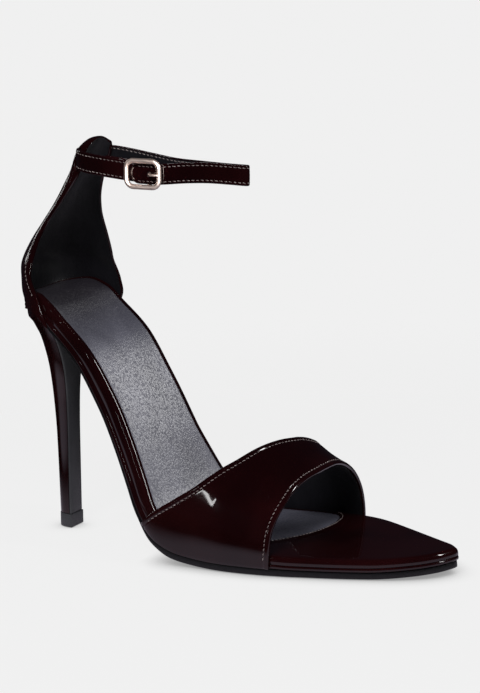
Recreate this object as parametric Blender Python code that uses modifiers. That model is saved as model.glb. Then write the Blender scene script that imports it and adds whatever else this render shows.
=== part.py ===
"""Strappy heeled sandal: one right shoe, ankle strap, patent vamp band, high slim heel.

Frame: +X to the toe, +Y to the medial side, +Z up, origin on the floor under the ball.
The bed follows one spine in the XZ plane. A point of the bed is given by its arc length
along the spine, its place across, and its height along the spine's normal.
"""
from collections import namedtuple
import math

import bmesh
import bpy
from mathutils import Vector
import numpy as np

# Bed: the wrapped insole board with its outline, spine and thickness
BED_LENGTH = 0.2130
TREAD_SHARE = 0.6314
BALL_WIDTH = 0.0800
SEAT_RISE = 0.1060
BED_DEPTH = 0.0056
DISH_DEPTH = 0.0025
ARCH_TILT = 0.0030
BED_EDGE_ROUND = 0.0022
BED_SEAM = 0.68
BED_SEAM_DEPTH = 0.0004
HEEL_END_RADIUS = 0.0270
TOE_END_RADIUS = 0.0060
TOE_CENTRE = 0.0020
SEAT_CENTRE = 0.0012

# Clearance between pieces that touch on the real shoe
FIT = 0.0003

# Outsole
SOLE_THICKNESS = 0.0032
SOLE_EDGE_ROUND = 0.0007
SOLE_MARGIN = 0.0012

# Sock: the soft leather lining of the bed, set into a shallow pocket
SOCK_THICKNESS = 0.0009
SOCK_POCKET = 0.0014
SOCK_MARGIN = 0.0032
SOCK_FRONT = 0.0100
SOCK_NOSE = 0.0250
SOCK_OUTER_RADIUS = 0.0540
SOCK_INNER_RADIUS = 0.0080

# Vamp band over the forefoot
VAMP_WALL = 0.0019
VAMP_CROWN = 0.0490
VAMP_CENTRE = 0.0060
VAMP_REAR_REACH = 0.0600
VAMP_FRONT_REACH = 0.0190
VAMP_OUTER_SQUARENESS = 2.4
VAMP_INNER_SQUARENESS = 2.0

# Heel counter with the sleeve that the ankle strap runs through
COUNTER_WALL = 0.0020
COUNTER_HEIGHT = 0.0714
COUNTER_HALF_WIDTH = 0.0300
COUNTER_REACH = 0.0330
SLEEVE_WALL = 0.0043
SLEEVE_MARGIN = 0.0048

# Ankle strap
STRAP_WIDTH = 0.0094
STRAP_THICKNESS = 0.0019
STRAP_LENGTH = 0.0880
STRAP_HALF_WIDTH = 0.0154
STRAP_HOLE_RADIUS = 0.0012
STRAP_HOLE_PITCH = 0.0112

# Buckle
BUCKLE_PLACE = 0.494
BUCKLE_LENGTH = 0.0189
BUCKLE_HEIGHT = 0.0141
BUCKLE_BAR = 0.0023
BUCKLE_CORNER = 0.0036
CENTRE_BAR = 0.0016
PRONG_DIAMETER = 0.0011

# Heel
HEEL_STEM_HALF_WIDTH = 0.0052
HEEL_STEM_DEPTH = 0.0068
HEEL_TOP_HALF_WIDTH = 0.0292
HEEL_TOP_DEPTH = 0.0184
HEEL_INSET = 0.01465
BREAST_COVER = 0.0009
TIP_HEIGHT = 0.0065
TIP_MARGIN = 0.0003
HEEL_ROUNDNESS = 0.85
HEEL_SEAT_ROUNDNESS = 1.32

# Mesh counts
BED_STATIONS = 36
END_WEIGHT = 0.16
BEND_WEIGHT = 0.35
BED_COLUMNS = 4
COUNTER_COLUMNS = 24
VAMP_COLUMNS = 26
VAMP_ROWS = 12
HEEL_ARC = 10

BED_BACK = -TREAD_SHARE * BED_LENGTH
BED_TOP = SOLE_THICKNESS + FIT + BED_DEPTH
HALF_BALL = BALL_WIDTH / 2
HEEL_CENTRE_X = BED_BACK + HEEL_INSET

# Sections of the bed. along: share of BED_LENGTH from the back. rise: share of SEAT_RISE.
# outer, inner: lateral and medial edges as shares of half the ball width. dish, tilt and
# depth: shares of DISH_DEPTH, ARCH_TILT and BED_DEPTH. sole: sole margin, share.
# tread: thickness of the outsole, share.
BedRow = namedtuple("BedRow", "along rise outer inner dish tilt depth sole tread")
BED_ROWS = (
    BedRow(0.000, 0.984, 0.68, 0.74, 0.9, 0.0, 1.50, 1.0, 0.42),
    BedRow(0.030, 1.002, 0.69, 0.75, 1.0, 0.0, 1.50, 1.0, 0.42),
    BedRow(0.065, 0.998, 0.69, 0.75, 1.0, 0.1, 1.50, 1.0, 0.42),
    BedRow(0.102, 0.960, 0.69, 0.75, 1.0, 0.2, 1.50, 1.0, 0.42),
    BedRow(0.135, 0.900, 0.68, 0.745, 0.9, 0.4, 1.52, 1.0, 0.42),
    BedRow(0.205, 0.785, 0.72, 0.69, 0.6, 0.8, 1.55, 1.0, 0.42),
    BedRow(0.271, 0.596, 0.745, 0.64, 0.4, 1.0, 1.60, 0.9, 0.42),
    BedRow(0.325, 0.395, 0.82, 0.66, 0.3, 0.9, 1.60, 0.8, 0.42),
    BedRow(0.354, 0.273, 0.88, 0.75, 0.2, 0.7, 1.58, 0.6, 0.42),
    BedRow(0.384, 0.156, 0.965, 0.85, 0.1, 0.5, 1.48, 0.3, 0.45),
    BedRow(0.416, 0.066, 1.015, 0.92, 0.1, 0.3, 1.20, -0.4, 0.80),
    BedRow(0.445, 0.028, 1.000, 0.95, 0.0, 0.1, 1.02, -1.0, 1.00),
    BedRow(0.482, 0.009, 0.970, 0.99, 0.0, 0.0, 1.00, -1.0, 1.00),
    BedRow(0.529, 0.002, 0.97, 1.03, 0.0, 0.0, 1.00, -1.0, 1.00),
    BedRow(0.575, 0.000, 0.955, 1.07, 0.0, 0.0, 1.00, -1.0, 1.00),
    BedRow(0.631, 0.000, 0.93, 1.10, 0.0, 0.0, 1.00, -0.6, 1.00),
    BedRow(0.680, 0.000, 0.905, 1.13, 0.0, 0.0, 1.00, 0.4, 1.00),
    BedRow(0.728, 0.000, 0.84, 1.10, 0.0, 0.0, 1.00, 0.8, 1.00),
    BedRow(0.843, 0.001, 0.64, 0.80, 0.0, 0.0, 1.00, 0.8, 1.00),
    BedRow(0.936, 0.014, 0.40, 0.42, 0.0, 0.0, 1.00, 0.8, 1.00),
    BedRow(1.000, 0.028, 0.09, 0.13, 0.0, 0.0, 1.00, 0.8, 1.00),
)

# Vamp edges. around: share of the way from the lateral to the medial base.
# rear: share of VAMP_REAR_REACH behind the tread. front: share of VAMP_FRONT_REACH.
VampRow = namedtuple("VampRow", "around rear front")
VAMP_ROWS_TABLE = (
    VampRow(0.000, 0.965, 0.25),
    VampRow(0.045, 0.83, 0.27),
    VampRow(0.085, 0.70, 0.29),
    VampRow(0.140, 0.535, 0.37),
    VampRow(0.225, 0.355, 0.51),
    VampRow(0.280, 0.26, 0.58),
    VampRow(0.365, 0.16, 0.70),
    VampRow(0.450, 0.080, 0.81),
    VampRow(0.520, 0.025, 0.84),
    VampRow(0.600, 0.00, 0.84),
    VampRow(0.700, 0.06, 0.84),
    VampRow(0.800, 0.20, 0.84),
    VampRow(0.900, 0.40, 0.82),
    VampRow(1.000, 0.60, 0.79),
)

# Crown of the foot form over the tread. forward: share of VAMP_REAR_REACH from the tread.
# height: share of VAMP_CROWN above the bed's base line.
CrownRow = namedtuple("CrownRow", "forward height")
CROWN_ROWS = (
    CrownRow(-1.00, 1.66),
    CrownRow(-0.55, 1.38),
    CrownRow(-0.33, 1.215),
    CrownRow(-0.17, 1.11),
    CrownRow(0.00, 1.00),
    CrownRow(0.13, 0.88),
    CrownRow(0.25, 0.80),
    CrownRow(0.40, 0.72),
)

# Counter sections above the seat. up: share of COUNTER_HEIGHT above the seat.
# back: share of COUNTER_REACH that the back leans from the seat's back, forward positive.
# width: share of COUNTER_HALF_WIDTH. deep: share of COUNTER_REACH.
# outer, inner: places of the lateral and medial front edges, shares of COUNTER_REACH
# forward of the seat's back.
CounterRow = namedtuple("CounterRow", "up back width deep outer inner")
COUNTER_ROWS = (
    CounterRow(-0.20, -0.06, 1.03, 1.06, 1.10, 0.98),
    CounterRow(-0.08, -0.06, 1.03, 1.06, 0.88, 0.93),
    CounterRow(-0.04, -0.07, 1.02, 1.07, 0.66, 0.91),
    CounterRow(0.00, -0.09, 1.01, 1.08, 0.51, 0.88),
    CounterRow(0.06, -0.12, 0.98, 1.08, 0.43, 0.855),
    CounterRow(0.13, -0.11, 0.93, 1.05, 0.36, 0.85),
    CounterRow(0.22, -0.04, 0.86, 0.97, 0.32, 0.855),
    CounterRow(0.33, 0.09, 0.76, 0.84, 0.34, 0.85),
    CounterRow(0.45, 0.27, 0.64, 0.70, 0.43, 0.845),
    CounterRow(0.58, 0.462, 0.53, 0.58, 0.63, 0.88),
    CounterRow(0.70, 0.616, 0.46, 0.46, 0.80, 0.955),
    CounterRow(0.80, 0.74, 0.445, 0.40, 0.87, 1.03),
    CounterRow(0.90, 0.83, 0.44, 0.36, 0.91, 1.12),
    CounterRow(1.00, 0.97, 0.43, 0.33, 0.98, 1.16),
)

# Rows of the counter's faces: shares of the bed's depth down its side, then shares of the
# way from there to the top.
COUNTER_BASE_SHARES = (-1.0, -0.6, -0.2, 0.15)
COUNTER_LEVELS = (0.07, 0.13, 0.20, 0.28, 0.37, 0.46, 0.55, 0.63, 0.70, 0.76, 0.81, 0.87, 0.93, 1.0)
COUNTER_BLEND = 0.24

# Top line of the tab. around: share of the way from its lateral to its medial front edge.
# fall: share of TAB_FALL below its highest place.
TAB_FALL = 0.046
TabRow = namedtuple("TabRow", "around fall")
TAB_ROWS = (
    TabRow(0.00, 1.00),
    TabRow(0.10, 0.78),
    TabRow(0.20, 0.35),
    TabRow(0.30, 0.07),
    TabRow(0.42, 0.00),
    TabRow(0.55, 0.02),
    TabRow(0.65, 0.11),
    TabRow(0.80, 0.36),
    TabRow(1.00, 0.92),
)

# Heel sections. up: share of the height from the top piece to the seat's base.
# back: share of HEEL_TOP_DEPTH behind the breast. half: share of HEEL_TOP_HALF_WIDTH
# that is added to the stem's half width.
HeelRow = namedtuple("HeelRow", "up back half")
HEEL_ROWS = (
    HeelRow(0.00, 0.000, 0.00),
    HeelRow(0.38, 0.110, 0.00),
    HeelRow(0.53, 0.210, 0.02),
    HeelRow(0.64, 0.315, 0.07),
    HeelRow(0.71, 0.405, 0.14),
    HeelRow(0.76, 0.485, 0.225),
    HeelRow(0.81, 0.570, 0.34),
    HeelRow(0.85, 0.655, 0.45),
    HeelRow(0.88, 0.735, 0.575),
    HeelRow(0.92, 0.850, 0.75),
    HeelRow(0.955, 0.970, 0.95),
    HeelRow(1.10, 1.030, 1.02),
)

# Route of the ankle strap. forward: share of STRAP_LENGTH from its back to the front fold.
# across: share of STRAP_HALF_WIDTH, medial positive. drop: below the sleeve's middle, share
# of STRAP_WIDTH.
StrapRow = namedtuple("StrapRow", "forward across drop")
STRAP_ROWS = (
    StrapRow(0.490, -1.00, 0.30),
    StrapRow(0.400, -1.00, 0.26),
    StrapRow(0.300, -1.01, 0.18),
    StrapRow(0.180, -0.96, 0.08),
    StrapRow(0.090, -0.83, 0.00),
    StrapRow(0.030, -0.55, -0.05),
    StrapRow(0.000, 0.00, -0.06),
    StrapRow(0.030, 0.55, -0.06),
    StrapRow(0.090, 0.81, -0.04),
    StrapRow(0.190, 0.92, 0.08),
    StrapRow(0.330, 0.99, 0.30),
    StrapRow(0.470, 0.96, 0.475),
    StrapRow(0.620, 0.82, 0.51),
    StrapRow(0.780, 0.55, 0.50),
    StrapRow(0.895, 0.28, 0.46),
    StrapRow(0.959, 0.07, 0.42),
    StrapRow(0.961, -0.06, 0.41),
    StrapRow(0.895, -0.34, 0.32),
    StrapRow(0.800, -0.70, 0.22),
    StrapRow(0.700, -1.02, 0.21),
    StrapRow(0.620, -1.20, 0.26),
    StrapRow(0.560, -1.265, 0.29),
    StrapRow(0.500, -1.270, 0.29),
    StrapRow(0.410, -1.270, 0.28),
)


def clear_scene():
    """Remove every object that the file holds."""
    for item in list(bpy.data.objects):
        bpy.data.objects.remove(item, do_unlink=True)


def smooth(knots, values, places):
    """Read a smooth curve through the knots that never overshoots them."""
    knots = np.asarray(knots, float)
    values = np.asarray(values, float)
    places = np.clip(np.asarray(places, float), knots[0], knots[-1])
    steps = np.diff(knots)
    rates = np.diff(values) / steps
    slopes = np.zeros_like(values)
    same_way = rates[:-1] * rates[1:] > 0
    weight_a = 2 * steps[1:] + steps[:-1]
    weight_b = steps[1:] + 2 * steps[:-1]
    before = np.where(same_way, rates[:-1], 1.0)
    after = np.where(same_way, rates[1:], 1.0)
    mean = (weight_a + weight_b) / (weight_a / before + weight_b / after)
    slopes[1:-1] = np.where(same_way, mean, 0.0)
    slopes[0] = rates[0]
    slopes[-1] = rates[-1]
    index = np.clip(np.searchsorted(knots, places, side="right") - 1, 0, len(steps) - 1)
    step = steps[index]
    share = (places - knots[index]) / step
    start = values[index]
    end = values[index + 1]
    curve = start * (1 + 2 * share) * (1 - share) ** 2
    curve += end * share ** 2 * (3 - 2 * share)
    curve += step * share * (1 - share) * (slopes[index] * (1 - share) - slopes[index + 1] * share)
    return curve


def column(rows, name):
    """One named column of a table as an array."""
    return np.array([getattr(row, name) for row in rows])


class Spine:
    """The bed's middle line and the surface that lies along it."""

    def __init__(self, samples=400):
        share = np.linspace(0, 1, samples)
        self.x = BED_BACK + share * BED_LENGTH
        rise = smooth(column(BED_ROWS, "along"), column(BED_ROWS, "rise"), share)
        self.z = BED_TOP + rise * SEAT_RISE
        slope_x = np.gradient(self.x)
        slope_z = np.gradient(self.z)
        length = np.hypot(slope_x, slope_z)
        self.normal_x = -slope_z / length
        self.normal_z = slope_x / length
        self.arc = np.concatenate([[0], np.cumsum(np.hypot(np.diff(self.x), np.diff(self.z)))])
        self.length = self.arc[-1]
        self.share = share

    def read(self, name, arc):
        """A column of the bed table at an arc length."""
        share = np.interp(arc, self.arc, self.share)
        return smooth(column(BED_ROWS, "along"), column(BED_ROWS, name), share)

    def arc_at(self, x):
        """Arc length of the point of the middle line that lies at x."""
        return np.interp(x, self.x, self.arc)

    def edges(self, arc):
        """Lateral and medial edge of the bed at an arc length."""
        outer = -self.read("outer", arc) * HALF_BALL
        inner = self.read("inner", arc) * HALF_BALL
        heel = np.clip(arc / HEEL_END_RADIUS, 0, 1)
        toe = np.clip((self.length - arc) / TOE_END_RADIUS, 0, 1)
        heel_end = np.sqrt(1 - (1 - heel) ** 2)
        toe_end = np.sqrt(1 - (1 - toe) ** 2)
        outer = SEAT_CENTRE + (outer - SEAT_CENTRE) * heel_end
        inner = SEAT_CENTRE + (inner - SEAT_CENTRE) * heel_end
        outer = TOE_CENTRE + (outer - TOE_CENTRE) * toe_end
        inner = TOE_CENTRE + (inner - TOE_CENTRE) * toe_end
        return outer, inner

    def depth(self, arc):
        """Thickness of the bed at an arc length."""
        return self.read("depth", arc) * BED_DEPTH

    def point(self, arc, across, height):
        """World place of a point given along, across and above the bed."""
        outer, inner = -self.read("outer", arc) * HALF_BALL, self.read("inner", arc) * HALF_BALL
        middle = (outer + inner) / 2
        side = (across - middle) / ((inner - outer) / 2)
        lift = self.read("dish", arc) * DISH_DEPTH * side ** 2
        lift += self.read("tilt", arc) * ARCH_TILT * side / 2
        up = height + lift
        normal_x = np.interp(arc, self.arc, self.normal_x)
        normal_z = np.interp(arc, self.arc, self.normal_z)
        beyond = arc - np.clip(arc, 0, self.length)
        x = np.interp(arc, self.arc, self.x) + up * normal_x + beyond * normal_z
        z = np.interp(arc, self.arc, self.z) + up * normal_z - beyond * normal_x
        return np.stack([x, across + 0 * x, z], axis=-1)


def station_arcs(spine, start, end, count=BED_STATIONS):
    """Arc lengths from start to end, closer together at both ends and where the bed bends."""
    arcs = np.linspace(spine.length * start, spine.length * end, 800)
    slope = np.arctan2(np.interp(arcs, spine.arc, spine.normal_x),
                       np.interp(arcs, spine.arc, spine.normal_z))
    turn = np.abs(np.gradient(slope, arcs))
    reach = HEEL_END_RADIUS / 3
    ends = np.exp(-(arcs - arcs[0]) / reach) + np.exp(-(arcs[-1] - arcs) / reach)
    density = 1 / spine.length + END_WEIGHT * ends / reach + BEND_WEIGHT * turn
    total = np.concatenate([[0], np.cumsum((density[1:] + density[:-1]) / 2)])
    share = (1 - np.cos(np.linspace(0, math.pi, count + 1))) / 2
    even = np.linspace(0, 1, count + 1)
    blend = even * 0.7 + share * 0.3
    return np.interp(blend * total[-1], total, arcs)


def bed_chains(spine, count=BED_STATIONS):
    """Lateral and medial edge of the bed's outline, each an array of arc and across."""
    arcs = station_arcs(spine, 0, 1, count)
    outer, inner = spine.edges(arcs)
    return np.stack([arcs, outer], axis=-1), np.stack([arcs, inner], axis=-1)


def inset_chains(chains, margin):
    """Move both chains of a closed outline inward by a margin, or an array of margins."""
    outer, inner = chains
    count = len(outer)
    loop = np.concatenate([outer, inner[-2:0:-1]])
    margins = np.broadcast_to(margin, (count,))
    margins = np.concatenate([margins, margins[-2:0:-1]])
    tangent = np.roll(loop, -1, axis=0) - np.roll(loop, 1, axis=0)
    tangent /= np.maximum(np.linalg.norm(tangent, axis=1, keepdims=True), 1e-9)
    inward = np.stack([-tangent[:, 1], tangent[:, 0]], axis=-1)
    moved = loop + inward * margins[:, None]
    new_outer = moved[:count]
    new_inner = np.concatenate([moved[:1], moved[count:][::-1], moved[count - 1:count]])
    return new_outer, new_inner


def make_object(name, vertices, faces, material, collection, smooth_angle=math.radians(35)):
    """Make a mesh object with shared vertices merged and its faces pointing out."""
    mesh = bpy.data.meshes.new(name)
    mesh.from_pydata([tuple(vertex) for vertex in vertices], [], faces)
    shell = bmesh.new()
    shell.from_mesh(mesh)
    bmesh.ops.remove_doubles(shell, verts=shell.verts, dist=0.00001)
    bmesh.ops.recalc_face_normals(shell, faces=shell.faces)
    shell.to_mesh(mesh)
    shell.free()
    mesh.shade_smooth()
    mesh.set_sharp_from_angle(angle=smooth_angle)
    item = bpy.data.objects.new(name, mesh)
    if material is not None:
        mesh.materials.append(material)
    collection.objects.link(item)
    return item


def grid_faces(rows, columns, start=0, closed=False):
    """Quads of a grid of vertices, with the columns joined round if it is closed."""
    faces = []
    last = columns if closed else columns - 1
    for row in range(rows - 1):
        for place in range(last):
            after = (place + 1) % columns
            near = start + row * columns
            far = near + columns
            faces.append((near + place, near + after, far + after, far + place))
    return faces


def slab(name, spine, chains, levels, material, collection):
    """A closed body between the first and last level, each an inset and a height array."""
    count = len(chains[0])
    vertices = []
    rings = []
    for margin, height in levels:
        outer, inner = inset_chains(chains, margin)
        heights = np.broadcast_to(height, (count,))
        lateral = spine.point(outer[:, 0], outer[:, 1], heights)
        medial = spine.point(inner[:, 0], inner[:, 1], heights)
        rings.append((outer, inner, heights))
        vertices.extend(lateral)
        vertices.extend(medial[-2:0:-1])
    ring = 2 * count - 2
    faces = grid_faces(len(levels), ring, closed=True)
    for level, turn in ((0, 1), (len(levels) - 1, -1)):
        outer, inner, heights = rings[level]
        base = len(vertices)
        for place in range(BED_COLUMNS + 1):
            share = place / BED_COLUMNS
            line = outer * (1 - share) + inner * share
            vertices.extend(spine.point(line[:, 0], line[:, 1], heights))
        faces.extend(face[::turn] for face in grid_faces(BED_COLUMNS + 1, count, base))
    vertices = np.array(vertices)
    faces = [face for face in faces if len(distinct(vertices, face)) > 2]
    faces = [distinct(vertices, face) for face in faces]
    return make_object(name, vertices, faces, material, collection)


def distinct(vertices, face):
    """The corners of a face that don't fall on the corner before them."""
    kept = []
    for corner in face:
        place = vertices[corner]
        if all(np.linalg.norm(place - vertices[other]) > 1e-6 for other in kept):
            kept.append(corner)
    return tuple(kept)


def cut(target, cutter):
    """Take the cutter's form out of the target."""
    step = target.modifiers.new("cut_" + cutter.name, "BOOLEAN")
    step.operation = "DIFFERENCE"
    step.solver = "EXACT"
    step.object = cutter
    cutter.hide_render = True
    cutter.display_type = "WIRE"


def finish(name, color, roughness, metallic=0.0, coat=0.0):
    """A plain material for one piece."""
    material = bpy.data.materials.new(name)
    material.use_nodes = True
    shader = material.node_tree.nodes["Principled BSDF"]
    shader.inputs["Base Color"].default_value = (*color, 1.0)
    shader.inputs["Roughness"].default_value = roughness
    shader.inputs["Metallic"].default_value = metallic
    shader.inputs["Coat Weight"].default_value = coat
    return material


def new_collection(name):
    """A collection linked to the scene."""
    collection = bpy.data.collections.new(name)
    bpy.context.scene.collection.children.link(collection)
    return collection


def build_outsole(spine, material, collection, cutters):
    """The outsole, flat under the ball, up the shank to the heel's breast."""
    chains = bed_chains(spine)
    arcs = chains[0][:, 0]
    margin = spine.read("sole", arcs) * SOLE_MARGIN
    top = -spine.depth(arcs) - FIT
    bottom = top - spine.read("tread", arcs) * SOLE_THICKNESS
    levels = (
        (margin + SOLE_EDGE_ROUND, bottom),
        (margin, bottom + SOLE_EDGE_ROUND),
        (margin, top),
    )
    outsole = slab("outsole", spine, chains, levels, material, collection)
    breast = breast_x() + BREAST_COVER + 2 * FIT
    cut(outsole, block("sole_end", cutters, breast - BED_LENGTH / 2, breast))
    return outsole


def block(name, collection, low_x, high_x):
    """A cutting block over all of the shoe between two places along it."""
    height = 2 * (SEAT_RISE + COUNTER_HEIGHT)
    bpy.ops.mesh.primitive_cube_add(size=1.0)
    item = bpy.context.active_object
    item.name = name
    item.data.transform(item.matrix_world)
    for vertex in item.data.vertices:
        vertex.co.x = high_x if vertex.co.x > 0 else low_x
        vertex.co.y *= 2 * BALL_WIDTH
        vertex.co.z *= height
    for owner in list(item.users_collection):
        owner.objects.unlink(item)
    collection.objects.link(item)
    return item


def sock_chains(spine, margin):
    """The sock's outline: inside the bed's, closed in front by an oblique round end."""
    front = spine.arc_at(SOCK_FRONT) - margin
    start = (SOCK_MARGIN + margin) / spine.length
    arcs = station_arcs(spine, start, front / spine.length)
    outer, inner = inset_chains(bed_chains(spine, 4 * BED_STATIONS), SOCK_MARGIN + margin)
    lateral = np.interp(arcs, outer[:, 0], outer[:, 1])
    medial = np.interp(arcs, inner[:, 0], inner[:, 1])
    chains = []
    for across, radius in ((lateral, SOCK_OUTER_RADIUS), (medial, SOCK_INNER_RADIUS)):
        share = np.clip((front - arcs) / radius, 0, 1)
        close = np.sqrt(1 - (1 - share) ** 2)
        chains.append(np.stack([arcs, SOCK_NOSE + (across - SOCK_NOSE) * close], axis=-1))
    return tuple(chains)


def build_footbed(spine, material, collection, cutters):
    """The wrapped bed with rounded edges, a seam along its side and the sock's pocket."""
    chains = bed_chains(spine)
    depth = spine.depth(chains[0][:, 0])
    edge = BED_EDGE_ROUND
    levels = (
        (edge * 0.3, -depth),
        (0.0, -depth + edge * 0.3),
        (0.0, -depth * (BED_SEAM + 0.07)),
        (BED_SEAM_DEPTH, -depth * BED_SEAM),
        (0.0, -depth * (BED_SEAM - 0.07)),
        (edge * 0.05, -edge),
        (edge * 0.3, -edge * 0.35),
        (edge, 0.0),
    )
    footbed = slab("footbed", spine, chains, levels, material, collection)
    pocket = slab("sock_pocket", spine, sock_chains(spine, -FIT),
                  ((0.0, -SOCK_POCKET), (0.0, 4 * SOCK_POCKET)), None, cutters)
    cut(footbed, pocket)
    return footbed


def build_sock(spine, material, collection):
    """The soft leather sock that lies in the bed's pocket."""
    floor = -SOCK_POCKET + FIT
    top = floor + SOCK_THICKNESS
    round_edge = SOCK_THICKNESS * 0.35
    levels = (
        (0.0, floor),
        (0.0, top - round_edge),
        (round_edge, top),
    )
    return slab("sock", spine, sock_chains(spine, 0.0), levels, material, collection)


def bed_space(name, spine, gap, cutters):
    """A cutter of the bed's own form, grown by a gap on its side and its underside."""
    chains = bed_chains(spine)
    depth = spine.depth(chains[0][:, 0])
    levels = ((-gap, -depth - 4 * gap), (-gap, BED_EDGE_ROUND))
    return slab(name, spine, chains, levels, None, cutters)


def base_line(spine, side, count=240):
    """Bottom edge of the bed's side in world places, lateral for -1 and medial for +1."""
    arcs = np.linspace(0, spine.length, count)
    outer, inner = spine.edges(arcs)
    across = outer if side < 0 else inner
    return spine.point(arcs, across, -spine.depth(arcs))


def vamp_surface(spine, around, forward):
    """Outer face of the vamp at an angle share around and a place along X."""
    stand = FIT + VAMP_WALL
    lateral = base_line(spine, -1)
    medial = base_line(spine, 1)
    low = np.interp(forward, lateral[:, 0], lateral[:, 1]) - stand
    high = np.interp(forward, medial[:, 0], medial[:, 1]) + stand
    floor_a = np.interp(forward, lateral[:, 0], lateral[:, 2])
    floor_b = np.interp(forward, medial[:, 0], medial[:, 2])
    floor = floor_a * (1 - around) + floor_b * around
    share = forward / VAMP_REAR_REACH
    crown = smooth(column(CROWN_ROWS, "forward"), column(CROWN_ROWS, "height"), share)
    height = crown * VAMP_CROWN
    angle = math.pi * around
    power = np.where(around < 0.5, 2 / VAMP_OUTER_SQUARENESS, 2 / VAMP_INNER_SQUARENESS)
    side = np.sign(np.cos(angle)) * np.abs(np.cos(angle)) ** power
    reach = np.where(side > 0, VAMP_CENTRE - low, high - VAMP_CENTRE)
    y = VAMP_CENTRE - side * reach
    z = floor + height * np.abs(np.sin(angle)) ** power
    return np.stack([forward + 0 * y, y, z], axis=-1)


def build_vamp(spine, material, collection, cutters):
    """The wide band over the forefoot, one wall with its own rear and front edges."""
    around = np.linspace(0, 1, VAMP_COLUMNS + 1)
    knots = column(VAMP_ROWS_TABLE, "around")
    rear = -smooth(knots, column(VAMP_ROWS_TABLE, "rear"), around) * VAMP_REAR_REACH
    front = smooth(knots, column(VAMP_ROWS_TABLE, "front"), around) * VAMP_FRONT_REACH
    vertices = []
    for row in range(VAMP_ROWS + 1):
        share = row / VAMP_ROWS
        forward = rear * (1 - share) + front * share
        vertices.extend(vamp_surface(spine, around, forward))
    faces = grid_faces(VAMP_ROWS + 1, VAMP_COLUMNS + 1)
    vamp = make_object("vamp", vertices, faces, material, collection)
    thicken(vamp, VAMP_WALL, Vector((0, 0, 1)))
    cut(vamp, bed_space("bed_in_vamp", spine, FIT, cutters))
    return vamp


def thicken(item, wall, outward):
    """Give an open surface a wall on its inner side. outward: a way its middle faces."""
    mesh = item.data
    middle = mesh.polygons[len(mesh.polygons) // 2]
    if middle.normal.dot(outward) < 0:
        mesh.flip_normals()
    step = item.modifiers.new("wall", "SOLIDIFY")
    step.thickness = wall
    step.offset = -1.0
    step.use_even_offset = True
    return step


def seat_level():
    """Height of the bed's top at the seat."""
    return BED_TOP + SEAT_RISE


def strap_level():
    """Height of the middle of the sleeve that the ankle strap runs through."""
    return seat_level() + COUNTER_HEIGHT - SLEEVE_MARGIN - STRAP_WIDTH / 2


def counter_section(up, around, inside):
    """A point of the counter at a height share and a share around, some way inside its outer face."""
    ups = column(COUNTER_ROWS, "up")
    start = BED_BACK - FIT - COUNTER_WALL
    back = start + smooth(ups, column(COUNTER_ROWS, "back"), up) * COUNTER_REACH
    width = smooth(ups, column(COUNTER_ROWS, "width"), up) * COUNTER_HALF_WIDTH
    deep = smooth(ups, column(COUNTER_ROWS, "deep"), up) * COUNTER_REACH
    outer = start + smooth(ups, column(COUNTER_ROWS, "outer"), up) * COUNTER_REACH
    inner = start + smooth(ups, column(COUNTER_ROWS, "inner"), up) * COUNTER_REACH
    outer_angle = np.arccos(np.clip(1 - (outer - back) / deep, -1, 1))
    inner_angle = np.arccos(np.clip(1 - (inner - back) / deep, -1, 1))
    angle = -outer_angle * (1 - around) + inner_angle * around
    x = back + inside + (deep - inside) * (1 - np.cos(angle))
    centre = SEAT_CENTRE * np.clip(1 - up, 0, 1)
    y = centre + (width - inside) * np.sin(angle)
    z = seat_level() + up * COUNTER_HEIGHT + 0 * x
    return np.stack([x, y, z], axis=-1)


def counter_base(spine, up, margin):
    """Places a margin outside the bed's edge, round the back, between a level's front edges."""
    start = BED_BACK - FIT - COUNTER_WALL
    ups = column(COUNTER_ROWS, "up")
    outer_front = spine.arc_at(start + smooth(ups, column(COUNTER_ROWS, "outer"), up) * COUNTER_REACH)
    inner_front = spine.arc_at(start + smooth(ups, column(COUNTER_ROWS, "inner"), up) * COUNTER_REACH)
    outer, inner = inset_chains(bed_chains(spine, 4 * BED_STATIONS), -margin)
    line = np.concatenate([outer[::-1], inner[1:]])
    length = np.concatenate([[0], np.cumsum(np.linalg.norm(np.diff(line, axis=0), axis=1))])
    half = len(outer)
    begin = np.interp(outer_front, outer[:, 0], length[:half][::-1])
    end = np.interp(inner_front, inner[:, 0], length[half - 1:])
    places = np.linspace(begin, end, COUNTER_COLUMNS + 1)
    return np.interp(places, length, line[:, 0]), np.interp(places, length, line[:, 1])


def counter_face(spine, walls):
    """Rows of one face of the counter, from its lower edge to its top."""
    around = np.linspace(0, 1, COUNTER_COLUMNS + 1)
    margin = 2 * FIT + COUNTER_WALL
    rows = []
    for share in COUNTER_BASE_SHARES:
        up = share * BED_DEPTH / COUNTER_HEIGHT
        arc, across = counter_base(spine, up, margin - walls[0])
        rows.append(spine.point(arc, across, spine.depth(np.maximum(arc, 0)) * share))
    level = rows[-1][:, 2]
    first = (level - seat_level()) / COUNTER_HEIGHT
    top = 1 - TAB_FALL * smooth(column(TAB_ROWS, "around"), column(TAB_ROWS, "fall"), around)
    for share, wall in zip(COUNTER_LEVELS, walls):
        up = first + (top - first) * share
        form = counter_section(up, around, wall)
        blend = min(1.0, share / COUNTER_BLEND)
        if blend < 1:
            arc, across = counter_base(spine, float(up[0]), margin - wall)
            base = spine.point(arc, across, 0 * arc)
            form[:, :2] = base[:, :2] * (1 - blend) + form[:, :2] * blend
        rows.append(form)
    return rows


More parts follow.
